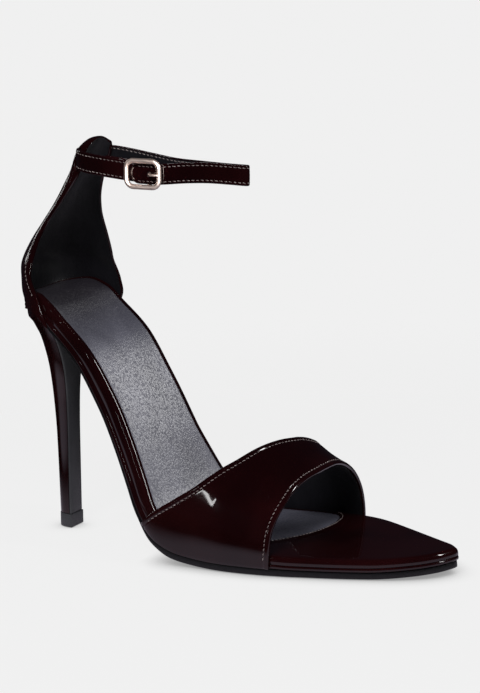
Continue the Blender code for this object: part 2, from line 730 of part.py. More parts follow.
def shell(name, outer_rows, inner_rows, material, collection):
    """A closed body between an outer and an inner face with the same rows and columns."""
    rows = len(outer_rows)
    columns = len(outer_rows[0])
    vertices = np.concatenate(list(outer_rows) + list(inner_rows))
    half = rows * columns
    faces = grid_faces(rows, columns)
    faces += [tuple(corner + half for corner in face[::-1]) for face in grid_faces(rows, columns)]
    for row in (0, rows - 1):
        for place in range(columns - 1):
            near = row * columns + place
            faces.append((near, near + 1, near + 1 + half, near + half))
    for place in (0, columns - 1):
        for row in range(rows - 1):
            near = row * columns + place
            far = near + columns
            faces.append((near, far, far + half, near + half))
    return make_object(name, vertices, faces, material, collection)


def build_counter(spine, material, collection, cutters):
    """The heel counter: a cup with two wings, narrowing to a sleeve for the strap."""
    walls = []
    for share in COUNTER_LEVELS:
        level = seat_level() + share * COUNTER_HEIGHT
        thick = (level - strap_level() + STRAP_WIDTH * 1.5) / STRAP_WIDTH
        thick = min(1.0, max(0.0, thick))
        walls.append(COUNTER_WALL + (SLEEVE_WALL - COUNTER_WALL) * thick)
    bare = [0.0] * len(walls)
    counter = shell("counter", counter_face(spine, bare), counter_face(spine, walls), material, collection)
    near_back = [place for place in strap_path() if place.x < sleeve_front()]
    cut(counter, ribbon("sleeve_slot", near_back, STRAP_WIDTH + 2 * FIT,
                        STRAP_THICKNESS + 2 * FIT, None, cutters))
    return counter


def strap_back():
    """Place along X of the back of the strap's middle layer, inside the sleeve."""
    up = (strap_level() - seat_level()) / COUNTER_HEIGHT
    return float(counter_section(np.array([up]), np.array([0.5]), SLEEVE_WALL / 2)[0, 0])


def sleeve_front():
    """Place along X that the slot's cutter reaches forward to."""
    return strap_back() + STRAP_LENGTH * 0.2


def strap_path():
    """Middle line of the ankle strap as vectors, from its buckle end to its tail."""
    forward = column(STRAP_ROWS, "forward")
    across = column(STRAP_ROWS, "across")
    drop = column(STRAP_ROWS, "drop")
    places = np.stack([
        strap_back() + forward * STRAP_LENGTH,
        across * STRAP_HALF_WIDTH,
        strap_level() - drop * STRAP_WIDTH,
    ], axis=-1)
    return rounded_route(places, 4)


def rounded_route(places, steps):
    """A smooth route through the places, with some steps between each two."""
    route = []
    last = len(places) - 1
    for index in range(last):
        before = places[max(index - 1, 0)]
        start = places[index]
        end = places[index + 1]
        after = places[min(index + 2, last)]
        span = np.linalg.norm(end - start)
        slope_a = (end - before) / max(np.linalg.norm(end - before), 1e-9) * span
        slope_b = (after - start) / max(np.linalg.norm(after - start), 1e-9) * span
        for step in range(steps):
            share = step / steps
            place = start * (1 + 2 * share) * (1 - share) ** 2
            place = place + end * share ** 2 * (3 - 2 * share)
            place = place + slope_a * share * (1 - share) ** 2 - slope_b * share ** 2 * (1 - share)
            route.append(Vector(place))
    route.append(Vector(places[-1]))
    return route


def ribbon(name, path, width, thickness, material, collection, round_end=False):
    """A flat strip on edge along a path, its width upright."""
    vertices = []
    count = len(path)
    for index, place in enumerate(path):
        ahead = path[min(index + 1, count - 1)] - path[max(index - 1, 0)]
        side = Vector((ahead.y, -ahead.x, 0)).normalized() * thickness / 2
        tall = width / 2
        if round_end:
            left = (path[-1] - place).length
            if left < tall and index > count // 2:
                tall = math.sqrt(max(tall ** 2 - (tall - left) ** 2, (tall * 0.3) ** 2))
        up = Vector((0, 0, tall))
        vertices.extend([place + side - up, place + side + up, place - side + up, place - side - up])
    faces = grid_faces(count, 4, closed=True)
    faces.append((0, 1, 2, 3))
    end = 4 * (count - 1)
    faces.append((end + 3, end + 2, end + 1, end))
    return make_object(name, vertices, faces, material, collection)


def build_ankle_strap(material, collection, cutters):
    """The strap: through the sleeve, round the ankle, its tail under the buckle's frame."""
    path = strap_path()
    strap = ribbon("ankle_strap", path, STRAP_WIDTH, STRAP_THICKNESS, material, collection, True)
    for index in range(2):
        hole = cylinder("strap_hole_%d" % index, STRAP_HOLE_RADIUS, 4 * STRAP_THICKNESS, cutters)
        forward = prong_x() + index * STRAP_HOLE_PITCH
        tail = nearest(path[len(path) // 2:], forward)
        hole.location = (forward, tail.y - STRAP_THICKNESS, tail.z)
        hole.rotation_euler = (math.pi / 2, 0, 0)
        cut(strap, hole)
    return strap


def nearest(path, forward):
    """The place of the path that lies nearest to a place along X."""
    return min(path, key=lambda place: abs(place.x - forward))


def cylinder(name, radius, length, collection, sides=16):
    """A cutting cylinder along its own Z."""
    bpy.ops.mesh.primitive_cylinder_add(vertices=sides, radius=radius, depth=length)
    item = bpy.context.active_object
    item.name = name
    for owner in list(item.users_collection):
        owner.objects.unlink(item)
    collection.objects.link(item)
    return item


def tail_across():
    """Place across of the strap's tail where the buckle holds it."""
    return STRAP_ROWS[-1].across * STRAP_HALF_WIDTH


def short_end_across():
    """Place across of the strap's short end, behind the buckle."""
    return STRAP_ROWS[0].across * STRAP_HALF_WIDTH


def buckle_centre():
    """Middle of the buckle's frame."""
    forward = strap_back() + BUCKLE_PLACE * STRAP_LENGTH
    across = tail_across() - STRAP_THICKNESS / 2 - FIT - BUCKLE_BAR / 2
    level = strap_level() - STRAP_ROWS[-1].drop * STRAP_WIDTH
    return Vector((forward, across, level))


def centre_bar_x():
    """Place along X of the buckle's centre bar."""
    return buckle_centre().x + CENTRE_BAR * 0.6


def prong_x():
    """Place along X where the prong passes through the strap."""
    return centre_bar_x() + CENTRE_BAR / 2 + FIT + PRONG_DIAMETER / 2


def tube(name, points, radius, material, collection, closed=False, resolution=3):
    """A round bar along points, as a mesh with welded caps."""
    curve = bpy.data.curves.new(name, "CURVE")
    curve.dimensions = "3D"
    curve.bevel_depth = radius
    curve.bevel_resolution = resolution
    curve.use_fill_caps = True
    spline = curve.splines.new("POLY")
    spline.points.add(len(points) - 1)
    for point, place in zip(spline.points, points):
        point.co = (*place, 1.0)
    spline.use_cyclic_u = closed
    item = bpy.data.objects.new(name + "_route", curve)
    collection.objects.link(item)
    graph = bpy.context.evaluated_depsgraph_get()
    mesh = bpy.data.meshes.new_from_object(item.evaluated_get(graph))
    bpy.data.objects.remove(item, do_unlink=True)
    shell = bmesh.new()
    shell.from_mesh(mesh)
    bmesh.ops.remove_doubles(shell, verts=shell.verts, dist=0.00001)
    bmesh.ops.recalc_face_normals(shell, faces=shell.faces)
    shell.to_mesh(mesh)
    shell.free()
    mesh.shade_smooth()
    result = bpy.data.objects.new(name, mesh)
    if material is not None:
        mesh.materials.clear()
        mesh.materials.append(material)
    collection.objects.link(result)
    return result


def rounded_rectangle(length, height, corner, steps=5):
    """Places round a rectangle with round corners, as pairs."""
    places = []
    for index in range(4):
        start = index * math.pi / 2
        centre_x = (length / 2 - corner) * (1 if index in (0, 3) else -1)
        centre_z = (height / 2 - corner) * (1 if index in (0, 1) else -1)
        for step in range(steps + 1):
            angle = start + step / steps * math.pi / 2
            places.append((centre_x + corner * math.cos(angle), centre_z + corner * math.sin(angle)))
    return places


def build_buckle(material, collection):
    """The buckle's frame with its centre bar, and its prong."""
    centre = buckle_centre()
    length = BUCKLE_LENGTH - BUCKLE_BAR
    height = BUCKLE_HEIGHT - BUCKLE_BAR
    ring = [centre + Vector((x, 0, z)) for x, z in rounded_rectangle(length, height, BUCKLE_CORNER)]
    frame = tube("buckle_frame", ring, BUCKLE_BAR / 2, material, collection, closed=True)
    behind = short_end_across() - STRAP_THICKNESS / 2 - FIT - CENTRE_BAR / 2
    x = centre_bar_x()
    top = height / 2
    tuck = STRAP_WIDTH / 2 + CENTRE_BAR / 2 + FIT
    staple = [
        Vector((x, centre.y, centre.z + top)),
        Vector((x, behind + CENTRE_BAR, centre.z + top)),
        Vector((x, behind, centre.z + tuck)),
        Vector((x, behind, centre.z - tuck)),
        Vector((x, behind + CENTRE_BAR, centre.z - top)),
        Vector((x, centre.y, centre.z - top)),
    ]
    bar = tube("centre_bar", staple, CENTRE_BAR / 2, material, collection, resolution=2)
    join = frame.modifiers.new("centre_bar", "BOOLEAN")
    join.operation = "UNION"
    join.solver = "EXACT"
    join.object = bar
    bar.hide_render = True
    bar.display_type = "WIRE"
    radius = PRONG_DIAMETER / 2
    over = centre.y - BUCKLE_BAR / 2 - FIT - radius
    right = centre.x + length / 2
    inner = prong_x()
    prong = [
        Vector((inner, behind - radius, centre.z)),
        Vector((inner, tail_across() - STRAP_THICKNESS / 2 - radius, centre.z)),
        Vector((inner + 2 * radius, tail_across() - STRAP_THICKNESS / 2 - 3 * radius, centre.z)),
        Vector((right - 2.6 * BUCKLE_BAR / 2, over, centre.z)),
        Vector((right + BUCKLE_BAR * 0.45, over, centre.z)),
    ]
    tube("buckle_prong", prong, radius, material, collection, resolution=2)
    return frame, bar


def breast_x():
    """Place along X of the heel's flat front."""
    return HEEL_CENTRE_X + HEEL_STEM_DEPTH / 2


def heel_ring(up, margin=0.0, reach=0.0, height=None):
    """One section of the heel: a round back and a flat breast, the breast moved out by reach."""
    ups = column(HEEL_ROWS, "up")
    deep = HEEL_STEM_DEPTH + smooth(ups, column(HEEL_ROWS, "back"), [up])[0] * (HEEL_TOP_DEPTH - HEEL_STEM_DEPTH)
    widened = smooth(ups, column(HEEL_ROWS, "half"), [up])[0]
    half = widened * (HEEL_TOP_HALF_WIDTH - HEEL_STEM_HALF_WIDTH) + HEEL_STEM_HALF_WIDTH + margin
    roundness = HEEL_ROUNDNESS + widened * (HEEL_SEAT_ROUNDNESS - HEEL_ROUNDNESS)
    level = height if height is not None else TIP_HEIGHT + FIT + up * heel_rise()
    front = breast_x() + reach
    deep += reach - margin
    centre = SEAT_CENTRE * np.clip(up, 0, 1) ** 4
    ring = []
    for step in range(HEEL_ARC + 1):
        angle = -math.pi / 2 + math.pi * step / HEEL_ARC
        bulge = max(math.cos(angle), 0.0) ** roundness
        ring.append((front - (deep + 2 * margin) * bulge, centre + half * math.sin(angle), level))
    ring.append((front, centre, level))
    return ring


def heel_rise():
    """Height from the heel's top piece to the seat's base."""
    return SEAT_RISE + SOLE_THICKNESS - TIP_HEIGHT


def build_heel(spine, heel_material, cover_material, tip_material, collection, cutters):
    """The heel block, the strip on its breast and its top piece."""
    ups = np.concatenate([np.linspace(0, 0.5, 4)[:-1], np.linspace(0.5, 1.1, 13)])
    vertices = []
    for up in ups:
        vertices.extend(heel_ring(up))
    ring = HEEL_ARC + 2
    faces = grid_faces(len(ups), ring, closed=True)
    faces.append(tuple(range(ring)))
    faces.append(tuple(range(ring * (len(ups) - 1), ring * len(ups)))[::-1])
    heel = make_object("heel", vertices, faces, heel_material, collection)
    chains = bed_chains(spine)
    depth = spine.depth(chains[0][:, 0])
    reach = 3 * COUNTER_WALL
    seat = slab("seat_space", spine, chains, ((-reach, -depth - FIT), (-reach, depth * 3)), None, cutters)
    cut(heel, seat)
    cover = build_breast_cover(spine, cover_material, collection)
    cut(cover, seat)
    reach = 2 * FIT + BREAST_COVER
    tip_rings = heel_ring(0.0, TIP_MARGIN, reach, 0.0) + heel_ring(0.0, TIP_MARGIN, reach, TIP_HEIGHT)
    faces = grid_faces(2, ring, closed=True)
    faces.append(tuple(range(ring)))
    faces.append(tuple(range(ring, 2 * ring))[::-1])
    make_object("heel_tip", tip_rings, faces, tip_material, collection)
    return heel


def build_breast_cover(spine, material, collection):
    """The thin strip that covers the heel's flat front up to the bed."""
    ups = np.linspace(0, 1.1, 16)
    vertices = []
    for up in ups:
        ring = heel_ring(up)
        half = abs(ring[0][1] - ring[-1][1])
        centre = ring[-1][1]
        level = ring[0][2]
        back = breast_x() + FIT
        front = back + BREAST_COVER
        vertices.extend([(back, centre - half, level), (front, centre - half, level),
                         (front, centre + half, level), (back, centre + half, level)])
    faces = grid_faces(len(ups), 4, closed=True)
    faces.append((0, 1, 2, 3))
    end = 4 * (len(ups) - 1)
    faces.append((end + 3, end + 2, end + 1, end))
    return make_object("breast_cover", vertices, faces, material, collection)


def main():
    """Build every piece of the shoe."""
    clear_scene()
    shoe = new_collection("strappy_heeled_sandal")
    cutters = new_collection("cutters")
    patent = finish("patent_oxblood", (0.022, 0.006, 0.007), 0.12, coat=1.0)
    black_sole = finish("sole_black", (0.010, 0.010, 0.011), 0.45)
    grey_leather = finish("sock_slate", (0.075, 0.075, 0.090), 0.48)
    charcoal = finish("charcoal", (0.035, 0.036, 0.040), 0.50)
    rose_gold = finish("rose_gold", (0.86, 0.60, 0.48), 0.22, metallic=1.0)
    spine = Spine()
    build_outsole(spine, black_sole, shoe, cutters)
    build_footbed(spine, patent, shoe, cutters)
    build_sock(spine, grey_leather, shoe)
    build_vamp(spine, patent, shoe, cutters)
    build_counter(spine, patent, shoe, cutters)
    build_ankle_strap(patent, shoe, cutters)
    frame, bar = build_buckle(rose_gold, shoe)
    shoe.objects.unlink(bar)
    cutters.objects.link(bar)
    build_heel(spine, patent, charcoal, charcoal, shoe, cutters)


main()
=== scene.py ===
"""Strappy heeled sandal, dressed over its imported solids.

Frame: +X to the toe, +Y to the medial side, +Z up, origin on the floor under the ball.
Lengths are metres. The bed follows one spine in the XZ plane, and a point of it is given
by its arc length along the spine, its place across, and its height along the normal.
"""
from __future__ import annotations

from dataclasses import dataclass, field
from enum import Enum
from itertools import product
import logging
import math
from typing import NamedTuple

import bmesh
import bpy
from mathutils import Matrix, Vector
import numpy as np


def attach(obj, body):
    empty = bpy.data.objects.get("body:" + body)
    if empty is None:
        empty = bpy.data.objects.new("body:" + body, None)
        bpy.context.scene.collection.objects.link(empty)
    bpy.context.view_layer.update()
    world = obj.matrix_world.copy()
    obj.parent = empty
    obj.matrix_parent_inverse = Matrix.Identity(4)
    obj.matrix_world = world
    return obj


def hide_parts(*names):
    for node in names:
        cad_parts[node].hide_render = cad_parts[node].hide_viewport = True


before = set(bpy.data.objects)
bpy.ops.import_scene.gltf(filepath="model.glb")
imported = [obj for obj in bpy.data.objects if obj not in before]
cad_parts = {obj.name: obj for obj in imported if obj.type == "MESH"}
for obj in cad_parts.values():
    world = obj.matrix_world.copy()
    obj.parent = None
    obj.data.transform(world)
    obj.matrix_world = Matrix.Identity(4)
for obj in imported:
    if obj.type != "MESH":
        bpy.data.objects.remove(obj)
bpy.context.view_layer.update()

LOG = logging.getLogger("sandal")
BODY = "root"
MM = 0.001
SPECK = 0.000004

Array = np.ndarray
Pair = tuple[np.ndarray, np.ndarray]
Piece = bpy.types.Object
Look = bpy.types.Material
Node = bpy.types.Node
Socket = bpy.types.NodeSocket
Tree = bpy.types.NodeTree


class Side(Enum):
    """Which side of the shoe a chain or an edge lies on."""

    LATERAL = -1
    MEDIAL = 1


class BedRow(NamedTuple):
    """One section of the bed, in shares of the bed's named sizes."""

    along: float
    rise: float
    outer: float
    inner: float
    dish: float
    tilt: float
    depth: float
    sole: float
    tread: float


class VampRow(NamedTuple):
    """Rear and front edge of the band at a share of the way round."""

    around: float
    rear: float
    front: float


class CrownRow(NamedTuple):
    """Height of the foot form over the tread."""

    forward: float
    height: float


class CounterRow(NamedTuple):
    """One level of the heel counter."""

    up: float
    back: float
    width: float
    deep: float
    outer: float
    inner: float


class TabRow(NamedTuple):
    """How far the tab's top line falls at a share of the way round."""

    around: float
    fall: float


class HeelRow(NamedTuple):
    """One level of the heel block."""

    up: float
    back: float
    half: float


class StrapRow(NamedTuple):
    """One place of the ankle strap's route."""

    forward: float
    across: float
    drop: float


BED_ROWS = (
    BedRow(0.000, 0.984, 0.68, 0.74, 0.9, 0.0, 1.50, 1.0, 0.42),
    BedRow(0.030, 1.002, 0.69, 0.75, 1.0, 0.0, 1.50, 1.0, 0.42),
    BedRow(0.065, 0.998, 0.69, 0.75, 1.0, 0.1, 1.50, 1.0, 0.42),
    BedRow(0.102, 0.960, 0.69, 0.75, 1.0, 0.2, 1.50, 1.0, 0.42),
    BedRow(0.135, 0.900, 0.68, 0.745, 0.9, 0.4, 1.52, 1.0, 0.42),
    BedRow(0.205, 0.785, 0.72, 0.69, 0.6, 0.8, 1.55, 1.0, 0.42),
    BedRow(0.271, 0.596, 0.745, 0.64, 0.4, 1.0, 1.60, 0.9, 0.42),
    BedRow(0.325, 0.395, 0.82, 0.66, 0.3, 0.9, 1.60, 0.8, 0.42),
    BedRow(0.354, 0.273, 0.88, 0.75, 0.2, 0.7, 1.58, 0.6, 0.42),
    BedRow(0.384, 0.156, 0.965, 0.85, 0.1, 0.5, 1.48, 0.3, 0.45),
    BedRow(0.416, 0.066, 1.015, 0.92, 0.1, 0.3, 1.20, -0.4, 0.80),
    BedRow(0.445, 0.028, 1.000, 0.95, 0.0, 0.1, 1.02, -1.0, 1.00),
    BedRow(0.482, 0.009, 0.970, 0.99, 0.0, 0.0, 1.00, -1.0, 1.00),
    BedRow(0.529, 0.002, 0.97, 1.03, 0.0, 0.0, 1.00, -1.0, 1.00),
    BedRow(0.575, 0.000, 0.955, 1.07, 0.0, 0.0, 1.00, -1.0, 1.00),
    BedRow(0.631, 0.000, 0.93, 1.10, 0.0, 0.0, 1.00, -0.6, 1.00),
    BedRow(0.680, 0.000, 0.905, 1.13, 0.0, 0.0, 1.00, 0.4, 1.00),
    BedRow(0.728, 0.000, 0.84, 1.10, 0.0, 0.0, 1.00, 0.8, 1.00),
    BedRow(0.843, 0.001, 0.64, 0.80, 0.0, 0.0, 1.00, 0.8, 1.00),
    BedRow(0.936, 0.014, 0.40, 0.42, 0.0, 0.0, 1.00, 0.8, 1.00),
    BedRow(1.000, 0.028, 0.09, 0.13, 0.0, 0.0, 1.00, 0.8, 1.00),
)

BAND_ROWS = (
    VampRow(0.000, 0.965, 0.25),
    VampRow(0.045, 0.83, 0.27),
    VampRow(0.085, 0.70, 0.29),
    VampRow(0.140, 0.535, 0.37),
    VampRow(0.225, 0.355, 0.51),
    VampRow(0.280, 0.26, 0.58),
    VampRow(0.365, 0.16, 0.70),
    VampRow(0.450, 0.080, 0.81),
    VampRow(0.520, 0.025, 0.84),
    VampRow(0.600, 0.00, 0.84),
    VampRow(0.700, 0.06, 0.84),
    VampRow(0.800, 0.20, 0.84),
    VampRow(0.900, 0.40, 0.82),
    VampRow(1.000, 0.60, 0.79),
)

CROWN_ROWS = (
    CrownRow(-1.00, 1.66),
    CrownRow(-0.55, 1.38),
    CrownRow(-0.33, 1.215),
    CrownRow(-0.17, 1.11),
    CrownRow(0.00, 1.00),
    CrownRow(0.13, 0.88),
    CrownRow(0.25, 0.80),
    CrownRow(0.40, 0.72),
)

COUNTER_ROWS = (
    CounterRow(-0.20, -0.06, 1.03, 1.06, 1.10, 0.98),
    CounterRow(-0.08, -0.06, 1.03, 1.06, 0.88, 0.93),
    CounterRow(-0.04, -0.07, 1.02, 1.07, 0.66, 0.91),
    CounterRow(0.00, -0.09, 1.01, 1.08, 0.51, 0.88),
    CounterRow(0.06, -0.12, 0.98, 1.08, 0.43, 0.855),
    CounterRow(0.13, -0.11, 0.93, 1.05, 0.36, 0.85),
    CounterRow(0.22, -0.04, 0.86, 0.97, 0.32, 0.855),
    CounterRow(0.33, 0.09, 0.76, 0.84, 0.34, 0.85),
    CounterRow(0.45, 0.27, 0.64, 0.70, 0.43, 0.845),
    CounterRow(0.58, 0.462, 0.53, 0.58, 0.63, 0.88),
    CounterRow(0.70, 0.616, 0.46, 0.46, 0.80, 0.955),
    CounterRow(0.80, 0.74, 0.445, 0.40, 0.87, 1.03),
    CounterRow(0.90, 0.83, 0.44, 0.36, 0.91, 1.12),
    CounterRow(1.00, 0.97, 0.43, 0.33, 0.98, 1.16),
)

TAB_ROWS = (
    TabRow(0.00, 1.00),
    TabRow(0.10, 0.78),
    TabRow(0.20, 0.35),
    TabRow(0.30, 0.07),
    TabRow(0.42, 0.00),
    TabRow(0.55, 0.02),
    TabRow(0.65, 0.11),
    TabRow(0.80, 0.36),
    TabRow(1.00, 0.92),
)

HEEL_ROWS = (
    HeelRow(0.00, 0.000, 0.00),
    HeelRow(0.38, 0.110, 0.00),
    HeelRow(0.53, 0.210, 0.02),
    HeelRow(0.64, 0.315, 0.07),
    HeelRow(0.71, 0.405, 0.14),
    HeelRow(0.76, 0.485, 0.225),
    HeelRow(0.81, 0.570, 0.34),
    HeelRow(0.85, 0.655, 0.45),
    HeelRow(0.88, 0.735, 0.575),
    HeelRow(0.92, 0.850, 0.75),
    HeelRow(0.955, 0.970, 0.95),
    HeelRow(1.10, 1.030, 1.02),
)

STRAP_ROWS = (
    StrapRow(0.490, -1.00, 0.30),
    StrapRow(0.400, -1.00, 0.26),
    StrapRow(0.300, -1.01, 0.18),
    StrapRow(0.180, -0.96, 0.08),
    StrapRow(0.090, -0.83, 0.00),
    StrapRow(0.030, -0.55, -0.05),
    StrapRow(0.000, 0.00, -0.06),
    StrapRow(0.030, 0.55, -0.06),
    StrapRow(0.090, 0.81, -0.04),
    StrapRow(0.190, 0.92, 0.08),
    StrapRow(0.330, 0.99, 0.30),
    StrapRow(0.470, 0.96, 0.475),
    StrapRow(0.620, 0.82, 0.51),
    StrapRow(0.780, 0.55, 0.50),
    StrapRow(0.895, 0.28, 0.46),
    StrapRow(0.959, 0.07, 0.42),
    StrapRow(0.961, -0.06, 0.41),
    StrapRow(0.895, -0.34, 0.32),
    StrapRow(0.800, -0.70, 0.22),
    StrapRow(0.700, -1.02, 0.21),
    StrapRow(0.620, -1.20, 0.26),
    StrapRow(0.560, -1.265, 0.29),
    StrapRow(0.500, -1.270, 0.29),
    StrapRow(0.410, -1.270, 0.28),
)


def smooth(knots: Array, values: Array, places: Array) -> Array:
    """Read a smooth curve through the knots that never overshoots them.

    Args:
        knots: Rising places of the knots.
        values: Value at each knot.
        places: Places to read.

    Returns:
        The value at each place.
    """
    knots = np.asarray(knots, float)
    values = np.asarray(values, float)
    places = np.clip(np.asarray(places, float), knots[0], knots[-1])
    steps = np.diff(knots)
    rates = np.diff(values) / steps
    slopes = np.zeros_like(values)
    same_way = rates[:-1] * rates[1:] > 0
    weight_a = 2 * steps[1:] + steps[:-1]
    weight_b = steps[1:] + 2 * steps[:-1]
    before = np.where(same_way, rates[:-1], 1.0)
    after = np.where(same_way, rates[1:], 1.0)
    mean = (weight_a + weight_b) / (weight_a / before + weight_b / after)
    slopes[1:-1] = np.where(same_way, mean, 0.0)
    slopes[0] = rates[0]
    slopes[-1] = rates[-1]
    index = np.clip(np.searchsorted(knots, places, side="right") - 1, 0, len(steps) - 1)
    step = steps[index]
    share = (places - knots[index]) / step
    start = values[index]
    end = values[index + 1]
    curve = start * (1 + 2 * share) * (1 - share) ** 2
    curve += end * share ** 2 * (3 - 2 * share)
    curve += step * share * (1 - share) * (slopes[index] * (1 - share) - slopes[index + 1] * share)
    return curve


def column(rows: tuple, name: str) -> Array:
    """One named column of a table as an array."""
    return np.array([getattr(row, name) for row in rows])


def unit(vectors: Array) -> Array:
    """The vectors with length one."""
    return vectors / np.maximum(np.linalg.norm(vectors, axis=-1, keepdims=True), 1e-12)


def running(places: Array, axis: int = 0) -> Array:
    """Length run along an axis of places, up to each place."""
    steps = np.linalg.norm(np.diff(places, axis=axis), axis=-1)
    start = np.zeros_like(np.take(steps, [0], axis=axis))
    return np.concatenate([start, np.cumsum(steps, axis=axis)], axis=axis)


def grid_faces(rows: int, columns: int, start: int = 0, closed: bool = False) -> list[tuple[int, ...]]:
    """Quads of a grid of vertices.

    Args:
        rows: Rows of the grid.
        columns: Vertices in each row.
        start: Number of the first vertex.
        closed: Whether each row joins round to its start.

    Returns:
        The corner numbers of each quad.
    """
    faces = []
    last = columns if closed else columns - 1
    for row in range(rows - 1):
        for place in range(last):
            after = (place + 1) % columns
            near = start + row * columns
            far = near + columns
            faces.append((near + place, near + after, far + after, far + place))
    return faces


def make_piece(
    name: str,
    vertices: Array,
    faces: list[tuple[int, ...]],
    looks: list[Look],
    wears: list[int] | None = None,
    sharp: float = 40.0,
) -> Piece:
    """Make one mesh object with its shared vertices merged and its faces pointing out.

    Args:
        name: Name of the piece.
        vertices: Places of the vertices.
        faces: Corner numbers of each face.
        looks: Materials of the piece.
        wears: Material number of each face, all the first when left out.
        sharp: Edges that turn by more degrees than this stay sharp.

    Returns:
        The new object.
    """
    mesh = bpy.data.meshes.new(name)
    mesh.from_pydata([tuple(vertex) for vertex in vertices], [], faces)
    if wears is not None:
        mesh.polygons.foreach_set("material_index", wears)
    shell = bmesh.new()
    shell.from_mesh(mesh)
    bmesh.ops.remove_doubles(shell, verts=shell.verts, dist=SPECK)
    bmesh.ops.recalc_face_normals(shell, faces=shell.faces)
    shell.to_mesh(mesh)
    shell.free()
    for look in looks:
        mesh.materials.append(look)
    mesh.shade_smooth()
    mesh.set_sharp_from_angle(angle=math.radians(sharp))
    item = bpy.data.objects.new(name, mesh)
    bpy.context.scene.collection.objects.link(item)
    return item


def carve(target: Piece, cutter: Piece, sharp: float = 40.0, solver: str = "EXACT") -> None:
    """Take the cutter's form out of the target and drop the cutter.

    Args:
        target: Piece that is cut.
        cutter: Form that is taken out.
        sharp: Edges that turn by more degrees than this stay sharp.
        solver: Blender's name of the way to cut.
    """
    step = target.modifiers.new("carve", "BOOLEAN")
    step.operation = "DIFFERENCE"
    step.solver = solver
    step.object = cutter
    graph = bpy.context.evaluated_depsgraph_get()
    graph.update()
    mesh = bpy.data.meshes.new_from_object(target.evaluated_get(graph))
    target.modifiers.clear()
    old = target.data
    target.data = mesh
    bpy.data.meshes.remove(old)
    bpy.data.objects.remove(cutter, do_unlink=True)
    mesh.shade_smooth()
    mesh.set_sharp_from_angle(angle=math.radians(sharp))


def dress(item: Piece, slot: str, *nodes: str) -> Piece:
    """Let a piece ride on the shoe and stand for its solids.

    Args:
        item: The piece.
        slot: Material slot of the record that its finish comes from; not used.
        *nodes: Names of the solids that it stands for.

    Returns:
        The piece.
    """
    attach(item, BODY)
    if nodes:
        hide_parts(*nodes)
    LOG.info("piece %s: %d faces", item.name, len(item.data.polygons))
    return item


def route_frames(route: Array, closed: bool) -> Pair:
    """Two directions square to a route, carried along it without twist.

    Args:
        route: Places along the route.
        closed: Whether the route joins round.

    Returns:
        Two arrays of unit vectors.
    """
    if closed:
        ahead = np.roll(route, -1, axis=0) - np.roll(route, 1, axis=0)
    else:
        ahead = np.gradient(route, axis=0)
    ahead = unit(ahead)
    first = np.cross(ahead[0], (0.0, 1.0, 0.0))
    if np.linalg.norm(first) < 0.1:
        first = np.cross(ahead[0], (0.0, 0.0, 1.0))
    first = unit(first)
    firsts = []
    for way in ahead:
        first = unit(first - way * float(first @ way))
        firsts.append(first)
    firsts = np.array(firsts)
    return firsts, np.cross(ahead, firsts)


def sweep(
    name: str,
    route: Array,
    radius: Array | float,
    looks: list[Look],
    closed: bool = False,
    sides: int = 20,
) -> Piece:
    """A round bar along a route.

    Args:
        name: Name of the piece.
        route: Places along its middle.
        radius: Radius, one for all or one for each place.
        looks: Materials of the piece.
        closed: Whether the bar joins round.
        sides: Sides of its section.

    Returns:
        The new object.
    """
    first, second = route_frames(route, closed)
    radii = np.broadcast_to(radius, (len(route),))
    angles = np.linspace(0, 2 * math.pi, sides, endpoint=False)
    rings = [
        place + size * (np.cos(angles)[:, None] * one + np.sin(angles)[:, None] * two)
        for place, size, one, two in zip(route, radii, first, second)
    ]
    vertices = np.concatenate(rings)
    faces = grid_faces(len(route), sides, closed=True)
    end = sides * (len(route) - 1)
    if closed:
        for place in range(sides):
            after = (place + 1) % sides
            faces.append((end + place, end + after, after, place))
    else:
        faces.append(tuple(range(sides))[::-1])
        faces.append(tuple(range(end, end + sides)))
    return make_piece(name, vertices, faces, looks, sharp=50)


def flowing(places: Array, steps: int) -> Array:
    """A smooth route through places that a row of them only roughs out.

    Args:
        places: Places that the route goes through.
        steps: Steps between each two of them.

    Returns:
        The places along the smooth route.
    """
    route = []
    last = len(places) - 1
    for index in range(last):
        before = places[max(index - 1, 0)]
        start = places[index]
        end = places[index + 1]
        after = places[min(index + 2, last)]
        span = np.linalg.norm(end - start)
        slope_a = (end - before) / max(np.linalg.norm(end - before), 1e-9) * span
        slope_b = (after - start) / max(np.linalg.norm(after - start), 1e-9) * span
        for step in range(steps):
            share = step / steps
            place = start * (1 + 2 * share) * (1 - share) ** 2
            place = place + end * share ** 2 * (3 - 2 * share)
            place = place + slope_a * share * (1 - share) ** 2 - slope_b * share ** 2 * (1 - share)
            route.append(place)
    route.append(places[-1])
    return np.array(route)


def grid_normals(grid: Array, centre: Array) -> Array:
    """Unit normals of a grid of places, pointing away from a centre.

    Args:
        grid: Rows by columns of places.
        centre: A place on the inner side.

    Returns:
        A normal for each place.
    """
    normals = unit(np.cross(np.gradient(grid, axis=0), np.gradient(grid, axis=1)))
    middle = grid[grid.shape[0] // 2, grid.shape[1] // 2]
    facing = normals[grid.shape[0] // 2, grid.shape[1] // 2] @ (middle - centre)
    return normals if facing > 0 else -normals


def rim(outer: Array, inner: Array, away: Array, bulge: Array, steps: int = 6) -> list:
    """Rows of places round a rolled edge.

    Args:
        outer: Edge of the outer face.
        inner: Edge of the inner face.
        away: Direction out of the edge.
        bulge: How far the edge stands out.
        steps: Rows to make.

    Returns:
        The rows from the outer to the inner face.
    """
    rows = []
    for step in range(1, steps + 1):
        angle = math.pi * step / (steps + 1)
        share = (1 - math.cos(angle)) / 2
        stand = (np.asarray(bulge) * math.sin(angle))[..., None] * away
        rows.append(outer * (1 - share) + inner * share + stand)
    return rows


